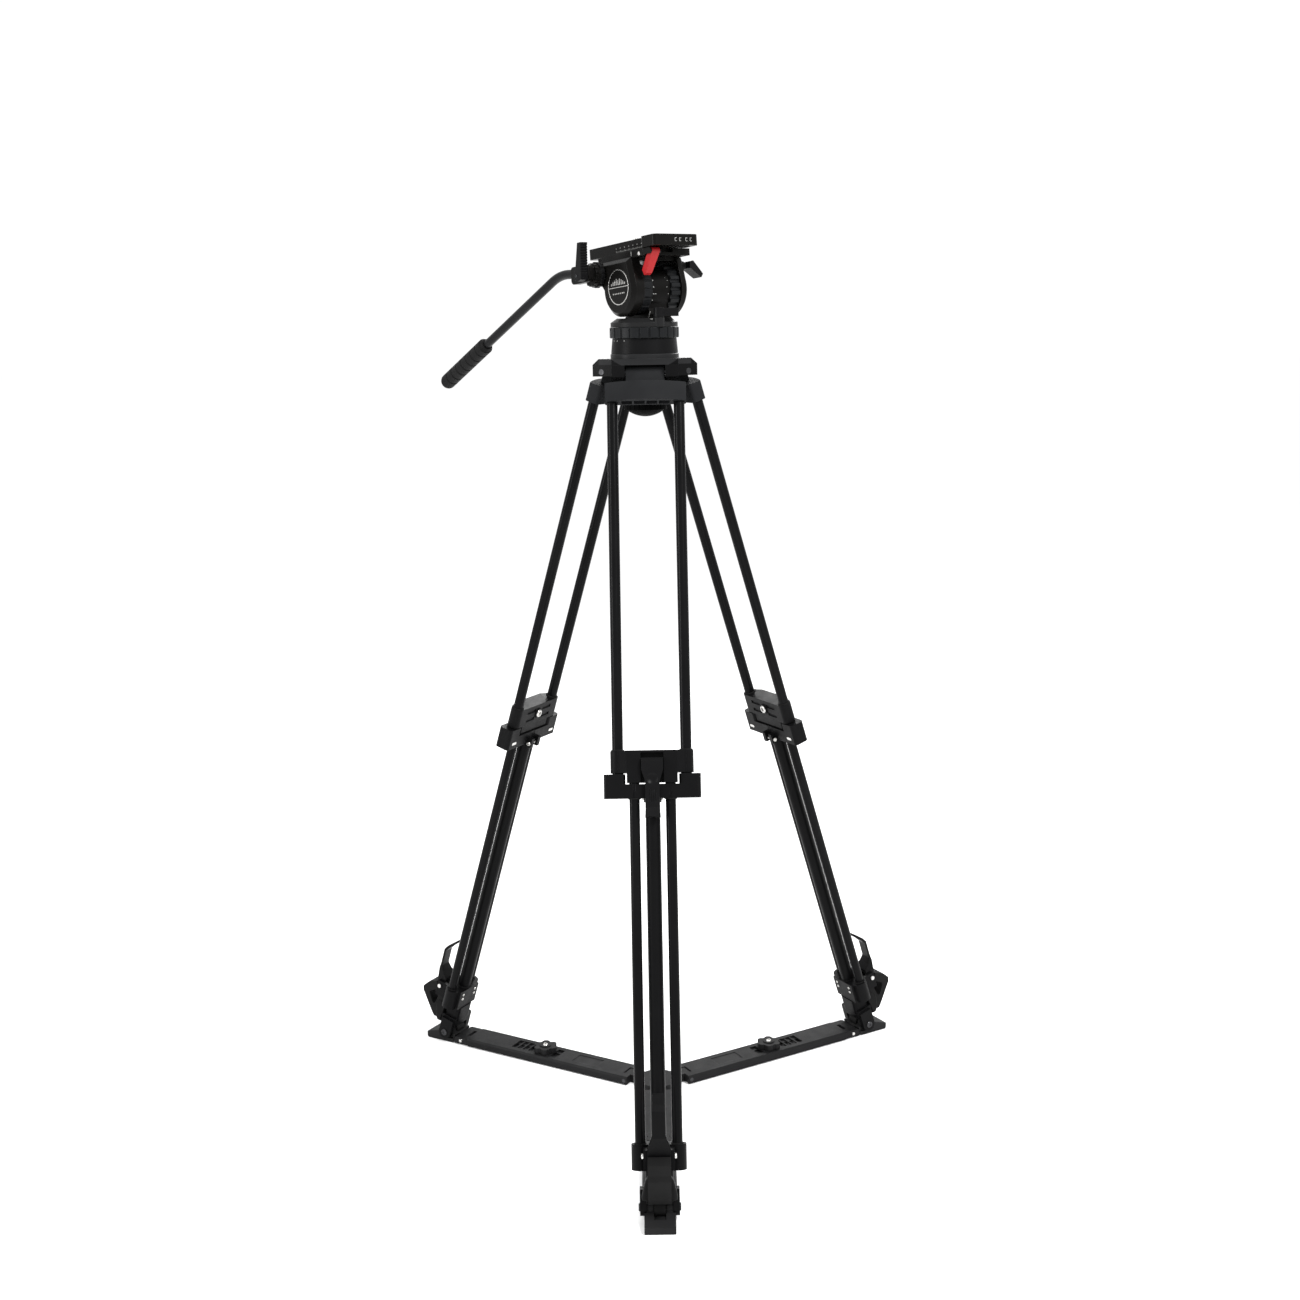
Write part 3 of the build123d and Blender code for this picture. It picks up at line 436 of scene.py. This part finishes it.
RUBBER = finish_material("black_rubber", (0.0062, 0.0062, 0.0062), 0.6, specular=0.06, grain=0.00012,
                         grain_scale=700.0, wear=(0.03, 0.029, 0.028), round_edge=0.0009)
RING_COAT = finish_material("ring_rubber", (0.0052, 0.0056, 0.0061), 0.36, specular=0.09, grain=0.00008,
                            wear=(0.05, 0.05, 0.052), round_edge=0.0008)
KNOB_COAT = finish_material("knob_rubber", (0.0014, 0.0014, 0.0014), 0.6, specular=0.02, grain=0.00008,
                            wear=(0.012, 0.012, 0.012), wear_amount=0.3)
FOAM = finish_material("grip_rubber", (0.0055, 0.0054, 0.0055), 0.55, specular=0.06, grain=0.0002,
                       grain_scale=520.0, wear=(0.03, 0.029, 0.028), round_edge=0.0009)
RED = finish_material("red_moulding", (0.27, 0.009, 0.011), 0.34, specular=0.15, cloud=1.15, grain=0.00004,
                      wear=(0.42, 0.06, 0.05), wear_amount=0.35, round_edge=0.0007)
TAB = finish_material("grey_brown_tab", (0.052, 0.047, 0.040), 0.55, specular=0.2, wear=(0.11, 0.10, 0.09))
PAINT = finish_material("white_print", (0.34, 0.34, 0.33), 0.55, specular=0.1, cloud=0.8, cloud_scale=300.0,
                        grain=0.00002)
CROWN_COAT = two_tone_material("crown_coat", (0.0030, 0.0030, 0.0032), (0.0135, 0.0137, 0.0143),
                               low=1.091, high=1.12, reach=0.0665)
DISC_COAT = two_tone_material("head_and_disc_coat", (0.0028, 0.0026, 0.0024), (0.0105, 0.0106, 0.0108),
                              low=1.14, high=1.1545, reach=0.052)
STEEL = steel_material("plated_steel", (0.50, 0.49, 0.47), 0.28)
DARK_STEEL = steel_material("blackened_steel", (0.055, 0.055, 0.058), 0.36)
SILVER = steel_material("bright_alloy", (0.66, 0.65, 0.63), 0.24)
LENS = finish_material("level_fluid", (0.20, 0.30, 0.05), 0.12, specular=0.4, cloud=1.2, coat=0.6,
                       grain=0.00001)

TUBE_BLACK = (0.0026, 0.0026, 0.0028)
LEG_TUBE = {leg: tube_material(f"{leg}_tube_anodised", LEG[leg], TUBE_BLACK, 0.24) for leg in LEGS}
BAR_TUBE = tube_material("bar_anodised", HEAD, (0.0060, 0.0060, 0.0064), 0.28)
RUBBER_PAD = finish_material("pad_rubber", (0.0095, 0.0095, 0.0098), 0.55, specular=0.08, grain=0.00014,
                             grain_scale=800.0, wear=(0.035, 0.034, 0.032), round_edge=0.001)

FINISH_OF_NODE = {
    "plate_lock_lever": RED, "handle_grip": FOAM, "leg_pivot_pins": DARK_STEEL, "hub_pins": DARK_STEEL,
    "tilt_axle": STEEL, "camera_screw": STEEL, "arm_sleeves": ARM_PLASTIC, "spreader_hub": ARM_PLASTIC,
    "bowl_knob": KNOB_COAT, "crown": CROWN_COAT, "head_body": DISC_COAT, "clamp_wing": PLASTIC,
    "badge_cover": HEAD_SHELL, "plain_cover": HEAD_SHELL, "tilt_platform": HEAD_SHELL,
    "sliding_plate": HEAD_SHELL, "handle_clamp": HEAD_SHELL, "pan_bar": BAR_TUBE,
}
FINISH_OF_ENDING = {
    "_foot_pad": RUBBER_PAD, "_top_casting": BAND, "_arm_slider": ARM_PLASTIC, "_arm_knob": ARM_PLASTIC,
    "_ring": RING_COAT, "_lever": PLASTIC,
}


def node_material(node):
    """The finish of one CAD node, by its name or by how its name ends. Other castings are black."""
    if node in FINISH_OF_NODE:
        return FINISH_OF_NODE[node]
    for leg in LEGS:
        if node in (f"{leg}_upper_tubes", f"{leg}_middle_tubes"):
            return LEG_TUBE[leg]
    for ending, finish in FINISH_OF_ENDING.items():
        if node.endswith(ending):
            return finish
    return CASTING


for node_name, node_object in NODES.items():
    node_object.data.materials.clear()
    node_object.data.materials.append(node_material(node_name))


# ---- Small hardware ----


def screw_head(radius, height, socket=0.5):
    """Button head with a hexagon socket, standing on z = 0."""
    rim = radius * 0.93
    bore = radius * socket
    return lathe([(radius, -0.4), (radius, height * 0.35), (rim, height * 0.75), (radius * 0.75, height),
                  (bore * 1.12, height), (bore, height - 0.25), (bore, height * 0.3), (0, height * 0.3)],
                 48, hexagon_from=5)


def gasket(inner, outer, height):
    """Soft ring that seals a tube where it enters a block."""
    crest = (inner + outer) / 2 + 0.2
    return ring_lathe([(inner, 0), (outer, 0), (outer, height * 0.6), (crest, height), (inner, height)])


def ring_lathe(section, steps=48):
    """Ring about Z from a closed section of (radius, height) points."""
    bm = bmesh.new()
    loops = []
    for step in range(steps):
        angle = 2 * math.pi * step / steps
        loops.append([bm.verts.new((r * math.cos(angle), r * math.sin(angle), z)) for r, z in section])
    for i in range(steps):
        here, there = loops[i], loops[(i + 1) % steps]
        for k in range(len(section)):
            m = (k + 1) % len(section)
            bm.faces.new((here[k], there[k], there[m], here[m]))
    return bm


def lobed_ring(inner, outer, height, lobes, depth, steps_per_lobe=10):
    """Grip ring about Z with round lobes on its outside."""
    outside, inside = [], []
    total = lobes * steps_per_lobe
    for step in range(total):
        angle = 2 * math.pi * step / total
        wave = abs(math.sin(lobes * angle / 2)) ** 0.6
        reach = outer - depth * (1 - wave)
        outside.append((reach * math.cos(angle), reach * math.sin(angle)))
        inside.append((inner * math.cos(angle), inner * math.sin(angle)))
    return prism(outside, 0, height, hole=inside)


# ---- One leg ----

STRAP_HALF, STRAP_EYE_R, TONGUE_HALF = 15.0, 13.6, 7.6


def strap_loop():
    """Finger loop of the foot strap, as a closed band."""
    outer = [(42.8, -1045), (57.5, -1054), (65.5, -1066), (63.5, -1073), (40, -1100), (33, -1107),
             (18, -1104), (16.5, -1069), (38, -1056.5)]
    inner = [(42, -1060.5), (48.5, -1066), (51.5, -1069.5), (50, -1073.5), (42, -1084.5), (39, -1086.5),
             (36, -1083), (33.5, -1068), (36, -1062)]
    radii_out = [1.5, 6, 5, 5, 6, 4, 4, 4, 2]
    radii_in = [1.5, 1.5, 1.2, 1.2, 1.5, 1.2, 1.5, 1.5, 1.5]
    band = prism(rounded(outer, radii_out, 4), -STRAP_HALF, STRAP_HALF, hole=rounded(inner, radii_in, 4))
    soften(band, sharper_than=1.0, offset=1.6, segments=3)
    return turned(band, side_view())


def strap_flap():
    """Wide flap over the neck, in rows of (distance down, half width, inner place, outer place)."""
    rows = [(1074, 15.5, 16, 31), (1078, 18.5, 15.5, 32.5), (1084, 20, 15, 31.5), (1092, 22, 15, 28.5),
            (1099, 23.5, 15, 25), (1103.5, 23, 15.2, 22.5), (1105, 21, 15.6, 20)]
    bm = bmesh.new()
    rings = []
    for down, half, near, far in rows:
        corners = rounded([(near, -half), (far, -half), (far, half), (near, half)], [0.8, 3.2, 3.2, 0.8], 4)
        rings.append([bm.verts.new((x, y, -down)) for x, y in corners])
    for low, high in zip(rings, rings[1:]):
        join_rings(bm, low, high)
    bm.faces.new(rings[0])
    bm.faces.new(rings[-1][::-1])
    return bm


def strap_tongue():
    """Tongue from the flap down to an eye round the foot pivot."""
    centre = -LEG_LENGTH
    steps = 26
    outline = [(19.5, -1086), (26.5, -1092)]
    for step in range(steps + 1):
        angle = math.radians(42 - 275 * step / steps)
        outline.append((STRAP_EYE_R * math.cos(angle), centre + STRAP_EYE_R * math.sin(angle)))
    outline.append((14.8, -1103))
    outline.append((15.2, -1088))
    band = prism(outline, -TONGUE_HALF, TONGUE_HALF)
    soften(band, sharper_than=1.2, offset=0.9, segments=2)
    return turned(band, side_view())


def strap_pips():
    """Two rows of pips on the flap's face."""
    parts = []
    for row in range(2):
        for column in range(4):
            place = (31.4 - 1.9 * row, -8.7 + 5.8 * column, -1081.5 - 3.6 * row)
            pip = lathe([(0.9, -0.5), (0.9, 0.3), (0.5, 0.7), (0, 0.8)], 16)
            parts.append(turned(pip, facing((1, 0, 0.25), place)))
    return joined(parts)


def strap_tab():
    """Small grey label plate at the lower end of the flap."""
    place = facing((1, 0, -0.32), (28.0, 0, -1093.5)) @ QUARTER_TURN
    return turned(box(-11.5, 11.5, -2.6, 2.6, 0, 1.1, 0.5), place)


def seal(radius, clearance, wall, height, place):
    """Gasket round one tube, at a place."""
    return turned(gasket(radius + clearance, radius + wall, height), place)


def slider_seals():
    return joined([seal(TUBE_UPPER_R, 0.15, 1.6, 1.5, moved(0, side * UPPER_HALF_SPACING, -SLIDER_TOP))
                   for side in SIDES])


def collar_seals():
    """Seals under the collar, facing down the leg."""
    return joined([seal(TUBE_MIDDLE_R, 0.15, 1.5, 1.4,
                        facing((0, 0, -1), (MIDDLE_OUT, side * MIDDLE_HALF_SPACING, -COLLAR_END)))
                   for side in SIDES])


def bracket_seals():
    seals = [seal(TUBE_MIDDLE_R, 0.1, 1.3, 1.2, moved(MIDDLE_OUT, side * MIDDLE_HALF_SPACING, -BRACKET_TOP))
             for side in SIDES]
    seals.append(seal(TUBE_INNER_R, 0.15, 1.3, 1.2, moved(0, 0, -BRACKET_TOP)))
    return joined(seals)


def clamp_boss():
    ring = lathe([(8.6, -0.5), (8.6, 1.0), (7.8, 1.8), (6.4, 1.8), (6.4, -0.5)], 48)
    return turned(ring, facing((-1, 0, 0), (BLOCK_BACK, 0, -CLAMP_BOLT_DOWN)))


def bracket_screws():
    """Four screws in the back of the lower bracket, two to each side."""
    screws = []
    for side in SIDES:
        for down in BRACKET_SCREW_DOWNS:
            place = facing((-1, 0, 0), (BRACKET_BACK, side * BRACKET_SCREW_SIDE, -down))
            screws.append(turned(screw_head(2.3, 1.1), place))
    return joined(screws)


def pin_heads(profile, x, end, z):
    """Turned head at each end of a pin that lies across."""
    return joined([turned(lathe(profile, 32), facing((0, side, 0), (x, side * end, z))) for side in SIDES])


def collar_inserts():
    """Oblong metal insert at each end of the collar's back."""
    inserts = []
    for side in SIDES:
        outline = rounded([(-2.1, -5.5), (2.1, -5.5), (2.1, 5.5), (-2.1, 5.5)], 1.9, 5)
        place = facing((-1, 0, 0), (BLOCK_BACK, side * 50, -INSERT_DOWN)) @ QUARTER_TURN
        inserts.append(turned(prism(outline, -0.6, 0.7, 0.25, segments=2), place))
    return joined(inserts)


def collar_bolt():
    """Cross bolt through the collar's lugs, with its head and a six-sided nut."""
    shank_half, lug_side = 12.6, 12
    shank = lathe([(0, -shank_half), (1.9, -shank_half), (1.9, shank_half), (0, shank_half)], 24)
    nut = lathe([(3.2, 0), (3.2, 2.4), (0, 2.4)], 6)

    def across(direction, y):
        return facing((0, direction, 0), (COLLAR_BOLT_OUT, y, -COLLAR_BOLT_DOWN))

    return joined([turned(shank, across(1, 0)), turned(screw_head(3.3, 2.4), across(1, lug_side)),
                   turned(nut, across(-1, -lug_side))])


LEVER_PIN_HEAD = [(3.6, -0.3), (3.6, 1.6), (3.0, 2.4), (0, 2.6)]
FOOT_PIN_HEAD = [(5.2, -0.3), (5.2, 1.0), (4.4, 1.8), (2.2, 1.8), (1.9, 0.9), (0, 0.9)]
ARM_PIN_HEAD = [(3.1, -0.2), (3.1, 0.4), (2.5, 1.0), (0, 1.2)]


def leg_trim(leg):
    """Straps and hardware of one leg. Each piece rides on the stage that holds it."""
    place = LEG[leg]
    upper, middle, inner = f"{leg}_upper", f"{leg}_middle", f"{leg}_inner"
    piece(f"{leg}_strap_loop", strap_loop(), place, inner, RUBBER)
    piece(f"{leg}_strap_flap", strap_flap(), place, inner, RUBBER)
    piece(f"{leg}_strap_tongue", strap_tongue(), place, inner, RUBBER)
    piece(f"{leg}_strap_pips", strap_pips(), place, inner, RUBBER)
    piece(f"{leg}_strap_tab", strap_tab(), place, inner, TAB)
    piece(f"{leg}_slider_seals", slider_seals(), place, middle, RUBBER)
    piece(f"{leg}_collar_seals", collar_seals(), place, upper, RUBBER)
    piece(f"{leg}_bracket_seals", bracket_seals(), place, middle, RUBBER)
    piece(f"{leg}_clamp_boss", clamp_boss(), place, middle, CASTING)
    bolt = turned(screw_head(6.2, 3.2), facing((-1, 0, 0), (BLOCK_BACK, 0, -CLAMP_BOLT_DOWN)))
    piece(f"{leg}_clamp_bolt", bolt, place, middle, SILVER)
    piece(f"{leg}_bracket_screws", bracket_screws(), place, middle, SILVER)
    lever_heads = pin_heads(LEVER_PIN_HEAD, LOW_LEVER_X, LOW_LEVER_PIN_END, -LOW_LEVER_DOWN)
    piece(f"{leg}_lever_pin_heads", lever_heads, place, middle, SILVER)
    piece(f"{leg}_collar_inserts", collar_inserts(), place, upper, SILVER)
    piece(f"{leg}_collar_bolt", collar_bolt(), place, upper, STEEL)
    foot_heads = pin_heads(FOOT_PIN_HEAD, 0, FORK_OUTSIDE, -LEG_LENGTH)
    piece(f"{leg}_foot_pin_heads", foot_heads, place, inner, DARK_STEEL)


def floor_trim(leg):
    """Pin heads and knob bolt of one spreader arm."""
    place = FLOOR[leg]
    arm_heads = pin_heads(ARM_PIN_HEAD, ARM_PIN_PLACE, ARM_PIN_END, PIN_HEIGHT)
    piece(f"{leg}_arm_pin_heads", arm_heads, place, f"{leg}_arm_slider", SILVER)
    bolt = turned(screw_head(4.2, 2.6), moved(KNOB_PLACE, 0, ARM_TOP + 9.0))
    piece(f"{leg}_knob_bolt", bolt, place, f"{leg}_arm_knob", SILVER)


for leg_name in LEGS:
    leg_trim(leg_name)
    floor_trim(leg_name)


# ---- Head ----


def badge():
    """Silver ring with a bar across it and a generic level-meter pattern in place of any name."""
    parts = [ring_lathe([(22.9, -0.2), (24.1, -0.2), (24.1, 0.35), (22.9, 0.35)], 96)]
    parts.append(box(-23.2, 23.2, -0.45, 0.45, -0.2, 0.35, 0.1))
    heights = (3.0, 5.0, 7.0, 8.5, 7.0, 8.5, 7.0, 5.0, 3.0)
    for index, height in enumerate(heights):
        x = (index - (len(heights) - 1) / 2) * 3.9
        parts.append(box(x - 0.9, x + 0.9, 3.0, 3.0 + height, -0.2, 0.3, 0.1))
    for index in range(7):
        x = (index - 3) * 4.2
        parts.append(turned(lathe([(1.0, -0.2), (1.0, 0.3), (0, 0.3)], 20), moved(x, -8.5, 0)))
    place = moved(2.0, -COVER_OUT, TILT_Z + 3.0) @ side_view()
    return turned(joined(parts), place)


def dot(place, direction, radius):
    """Small raised print dot that faces a direction."""
    return turned(lathe([(radius, -0.25), (radius, 0.3), (0, 0.35)], 16), facing(direction, place))


# Rows of dots round the drum: (place across the head, dot radius, angles above the front in degrees)
DRUM_DOTS = ((-5.2, 0.75, (-46, -29, -12, 5, 22)), (20.2, 0.5, (-12, 22)), (17.4, 0.5, (5, 30)))


def drum_marks():
    """White dots round the drum beside both rings, with one dash at the badge side."""
    parts = []
    for y, radius, angles in DRUM_DOTS:
        for degrees in angles:
            angle = math.radians(degrees)
            out = Vector((math.cos(angle), 0, math.sin(angle)))
            parts.append(dot(Vector((0, y, TILT_Z)) + out * DRUM_R, out, radius))
    dash = box(DRUM_R - 0.25, DRUM_R + 0.25, -3.4, -0.4, -0.35, 0.35, 0.1)
    turn = moved(0, 0, TILT_Z) @ Matrix.Rotation(math.radians(12), 4, "Y")
    parts.append(turned(dash, turn))
    return joined(parts)


def base_marks():
    """Three white dots round the fixed base, under the pan ring."""
    parts = []
    for degrees in (256, 268, 286):
        angle = math.radians(degrees)
        out = Vector((math.cos(angle), math.sin(angle), 0))
        parts.append(dot(out * BASE_DOT_R + Vector((0, 0, BASE_DOT_Z)), out, 0.8))
    return joined(parts)


def disc_marks():
    """White index line up the saddle's foot and a short arrow printed on the disc's edge."""
    line = box(-0.45, 0.45, -0.25, 0.3, 0, 9.5, 0.1)
    lean = Matrix.Rotation(math.radians(24), 4, "Y")
    foot = turned(line, moved(SADDLE_FRONT, SADDLE_SIDE, DISC_TOP + 0.5) @ lean)
    flat = box(38.5, 43.0, -17.5, -16.4, DISC_TOP - 1.8, DISC_TOP - 1.0, 0.1)
    return joined([foot, flat])


def scale_ticks():
    """Graduation along the plate's side: each fifth tick is longer and has a dot above it."""
    first, pitch, count = -22, 2, 31
    parts = []
    for index in range(count):
        x = first + pitch * index
        tall = index % 5 == 0
        parts.append(box(x - 0.2, x + 0.2, -0.25, 0.25, 0, 2.6 if tall else 1.6, 0.0))
        if tall:
            parts.append(dot((x, -0.1, 5.6), (0, -1, 0), 0.6))
    return turned(joined(parts), moved(0, -RAIL_HALF, RAIL_LOW + 2.0))


def nose_marks():
    """Two pairs of plain brackets where a lens scale would be printed."""
    wide, tall, stroke, thick = 3.0, 4.7, 0.6, 0.25
    parts = []
    for y in (-3.0, 4.5, 15.0, 22.5):
        parts.append(box(-thick, thick, y, y + wide, 0, stroke, 0.0))
        parts.append(box(-thick, thick, y, y + stroke, 0, tall - 0.1, 0.0))
        parts.append(box(-thick, thick, y, y + wide, tall - stroke, tall, 0.0))
    return turned(joined(parts), moved(NOSE_FRONT, 0, RAIL_LOW + 5.0))


def seat_mat():
    """Ribbed rubber mat on the camera seat, in two halves beside the screw slot."""
    parts = []
    for side in SIDES:
        near, far = sorted((side * 5.5, side * 22.0))
        parts.append(box(-70, 44, near, far, -0.4, 0.5, 0.3))
        for index in range(27):
            x = -67.5 + 4.1 * index
            parts.append(box(x, x + 1.8, near + 1.2, far - 1.2, 0.3, 1.1, 0.35))
    return turned(joined(parts), moved(0, 0, SEAT_TOP))


def rosette_ring():
    """Lobed grip ring round the handle's rosette, outside the badge cover."""
    place = moved(ROSETTE_X, 0, ROSETTE_Z) @ side_view() @ moved(0, 0, COVER_OUT + 1.2)
    return turned(lobed_ring(16.05, 17.9, 6.0, 14, 1.5), place)


def release_button():
    """Small silver button on the platform's side."""
    button = lathe([(2.8, -0.5), (2.8, 1.2), (2.3, 1.8), (0, 2.0)], 40)
    return turned(button, facing((0, -1, 0), (41.0, PLATFORM_SIDE, 1236.8)))


def platform_index():
    """White line on the platform's side, which the plate's scale is read against."""
    return box(21.6, 22.6, PLATFORM_SIDE - 0.25, PLATFORM_SIDE + 0.25, 1235.5, 1241.5, 0.1)


def round_level():
    """Bezel and fluid dome of the round level on the disc."""
    place = moved(-20.0, 31.0, DISC_TOP)
    bezel = ring_lathe([(5.2, -0.5), (8.0, -0.5), (8.0, 2.2), (6.9, 3.0), (5.6, 3.0), (5.2, 1.8)], 56)
    vial = lathe([(5.3, -0.5), (5.3, 2.0), (3.6, 2.6), (0, 2.9)], 48)
    return turned(bezel, place), turned(vial, place)


def head_trim():
    """Badge, print and small hardware of the head. Each piece rides on the part that carries it."""
    piece("badge_ring", badge(), CRADLE, "tilt_body", SILVER)
    piece("drum_marks", drum_marks(), HEAD, "pan_body", PAINT)
    piece("disc_marks", disc_marks(), HEAD, "pan_body", PAINT)
    piece("base_marks", base_marks(), HEAD, "crown", PAINT)
    piece("plate_scale", scale_ticks(), CRADLE, "plate", PAINT)
    piece("nose_marks", nose_marks(), CRADLE, "plate", PAINT)
    piece("seat_mat", seat_mat(), CRADLE, "plate", RUBBER)
    piece("platform_index", platform_index(), CRADLE, "tilt_body", PAINT)
    piece("release_button", release_button(), CRADLE, "tilt_body", SILVER)
    piece("rosette_ring", rosette_ring(), CRADLE, "tilt_body", PLASTIC)
    bezel, vial = round_level()
    piece("level_bezel", bezel, HEAD, "pan_body", PLASTIC)
    piece("level_vial", vial, HEAD, "pan_body", LENS)
    screw_place = facing((0, -1, 0), (ROSETTE_X - 3.0, WING_OUTSIDE, ROSETTE_Z - 1.0))
    piece("wing_screw", turned(screw_head(2.2, 1.0), screw_place), CRADLE, "wing", DARK_STEEL)


head_trim()


# ---- Stage, light and camera ----

CAMERA_DISTANCE, CAMERA_HEIGHT = 2.366, 1.1534
CAMERA_PITCH, CAMERA_ROLL, CAMERA_PAN = 0.197, -0.018, 0.0
FRAME_PIXELS, FOCAL_PIXELS, SENSOR_MM = 1300, 1661, 36.0


def camera():
    """Camera of the main view, with its pitch, roll and pan."""
    right = Vector((math.cos(CAMERA_PAN), math.sin(CAMERA_PAN), 0))
    level = Vector((-math.sin(CAMERA_PAN), math.cos(CAMERA_PAN), 0))
    ahead = level * math.cos(CAMERA_PITCH) - Vector((0, 0, math.sin(CAMERA_PITCH)))
    up = right.cross(ahead)
    turned_right = right * math.cos(CAMERA_ROLL) + up * math.sin(CAMERA_ROLL)
    turned_up = up * math.cos(CAMERA_ROLL) - right * math.sin(CAMERA_ROLL)
    data = bpy.data.cameras.new("camera")
    data.sensor_width = SENSOR_MM
    data.lens = SENSOR_MM * FOCAL_PIXELS / FRAME_PIXELS
    data.clip_end = 200
    made = bpy.data.objects.new("camera", data)
    columns = Matrix((turned_right, turned_up, -ahead)).transposed().to_4x4()
    made.matrix_world = Matrix.Translation((0, -CAMERA_DISTANCE, CAMERA_HEIGHT)) @ columns
    bpy.context.scene.collection.objects.link(made)
    bpy.context.scene.camera = made


def floor():
    """Pale matt floor of the studio."""
    mesh = bpy.data.meshes.new("studio_floor")
    reach = 40.0
    corners = [(-reach, -reach, 0), (reach, -reach, 0), (reach, reach, 0), (-reach, reach, 0)]
    mesh.from_pydata(corners, [], [(0, 1, 2, 3)])
    made = bpy.data.objects.new("studio_floor", mesh)
    material = bpy.data.materials.new("pale_floor")
    material.use_nodes = True
    shader = material.node_tree.nodes["Principled BSDF"]
    shader.inputs["Base Color"].default_value = (0.98, 0.98, 0.98, 1)
    shader.inputs["Roughness"].default_value = 1.0
    shader.inputs["Specular IOR Level"].default_value = 0.0
    mesh.materials.append(material)
    bpy.context.scene.collection.objects.link(made)


def softbox(name, place, target, size, power):
    """Rectangular lamp that faces a target. Its size is in metres and its power in watts."""
    light = bpy.data.lights.new(name, "AREA")
    light.shape = "RECTANGLE"
    light.size, light.size_y = size
    light.energy = power
    made = bpy.data.objects.new(name, light)
    made.location = place
    made.rotation_euler = (Vector(target) - Vector(place)).to_track_quat("-Z", "Y").to_euler()
    bpy.context.scene.collection.objects.link(made)


def studio():
    """White surroundings and three soft lamps."""
    world = bpy.data.worlds.new("studio")
    world.use_nodes = True
    world.node_tree.nodes["Background"].inputs["Color"].default_value = (1, 1, 1, 1)
    world.node_tree.nodes["Background"].inputs["Strength"].default_value = 1.035
    bpy.context.scene.world = world
    bpy.context.scene.view_settings.view_transform = "Standard"
    target = (0, 0, 0.7)
    softbox("key_light", (1.5, -1.6, 2.9), target, (0.9, 0.9), 110)
    softbox("fill_light", (-2.4, -0.9, 1.6), target, (0.5, 2.0), 45)
    softbox("back_light", (0.6, 2.6, 2.2), target, (1.8, 0.8), 45)


camera()
floor()
studio()

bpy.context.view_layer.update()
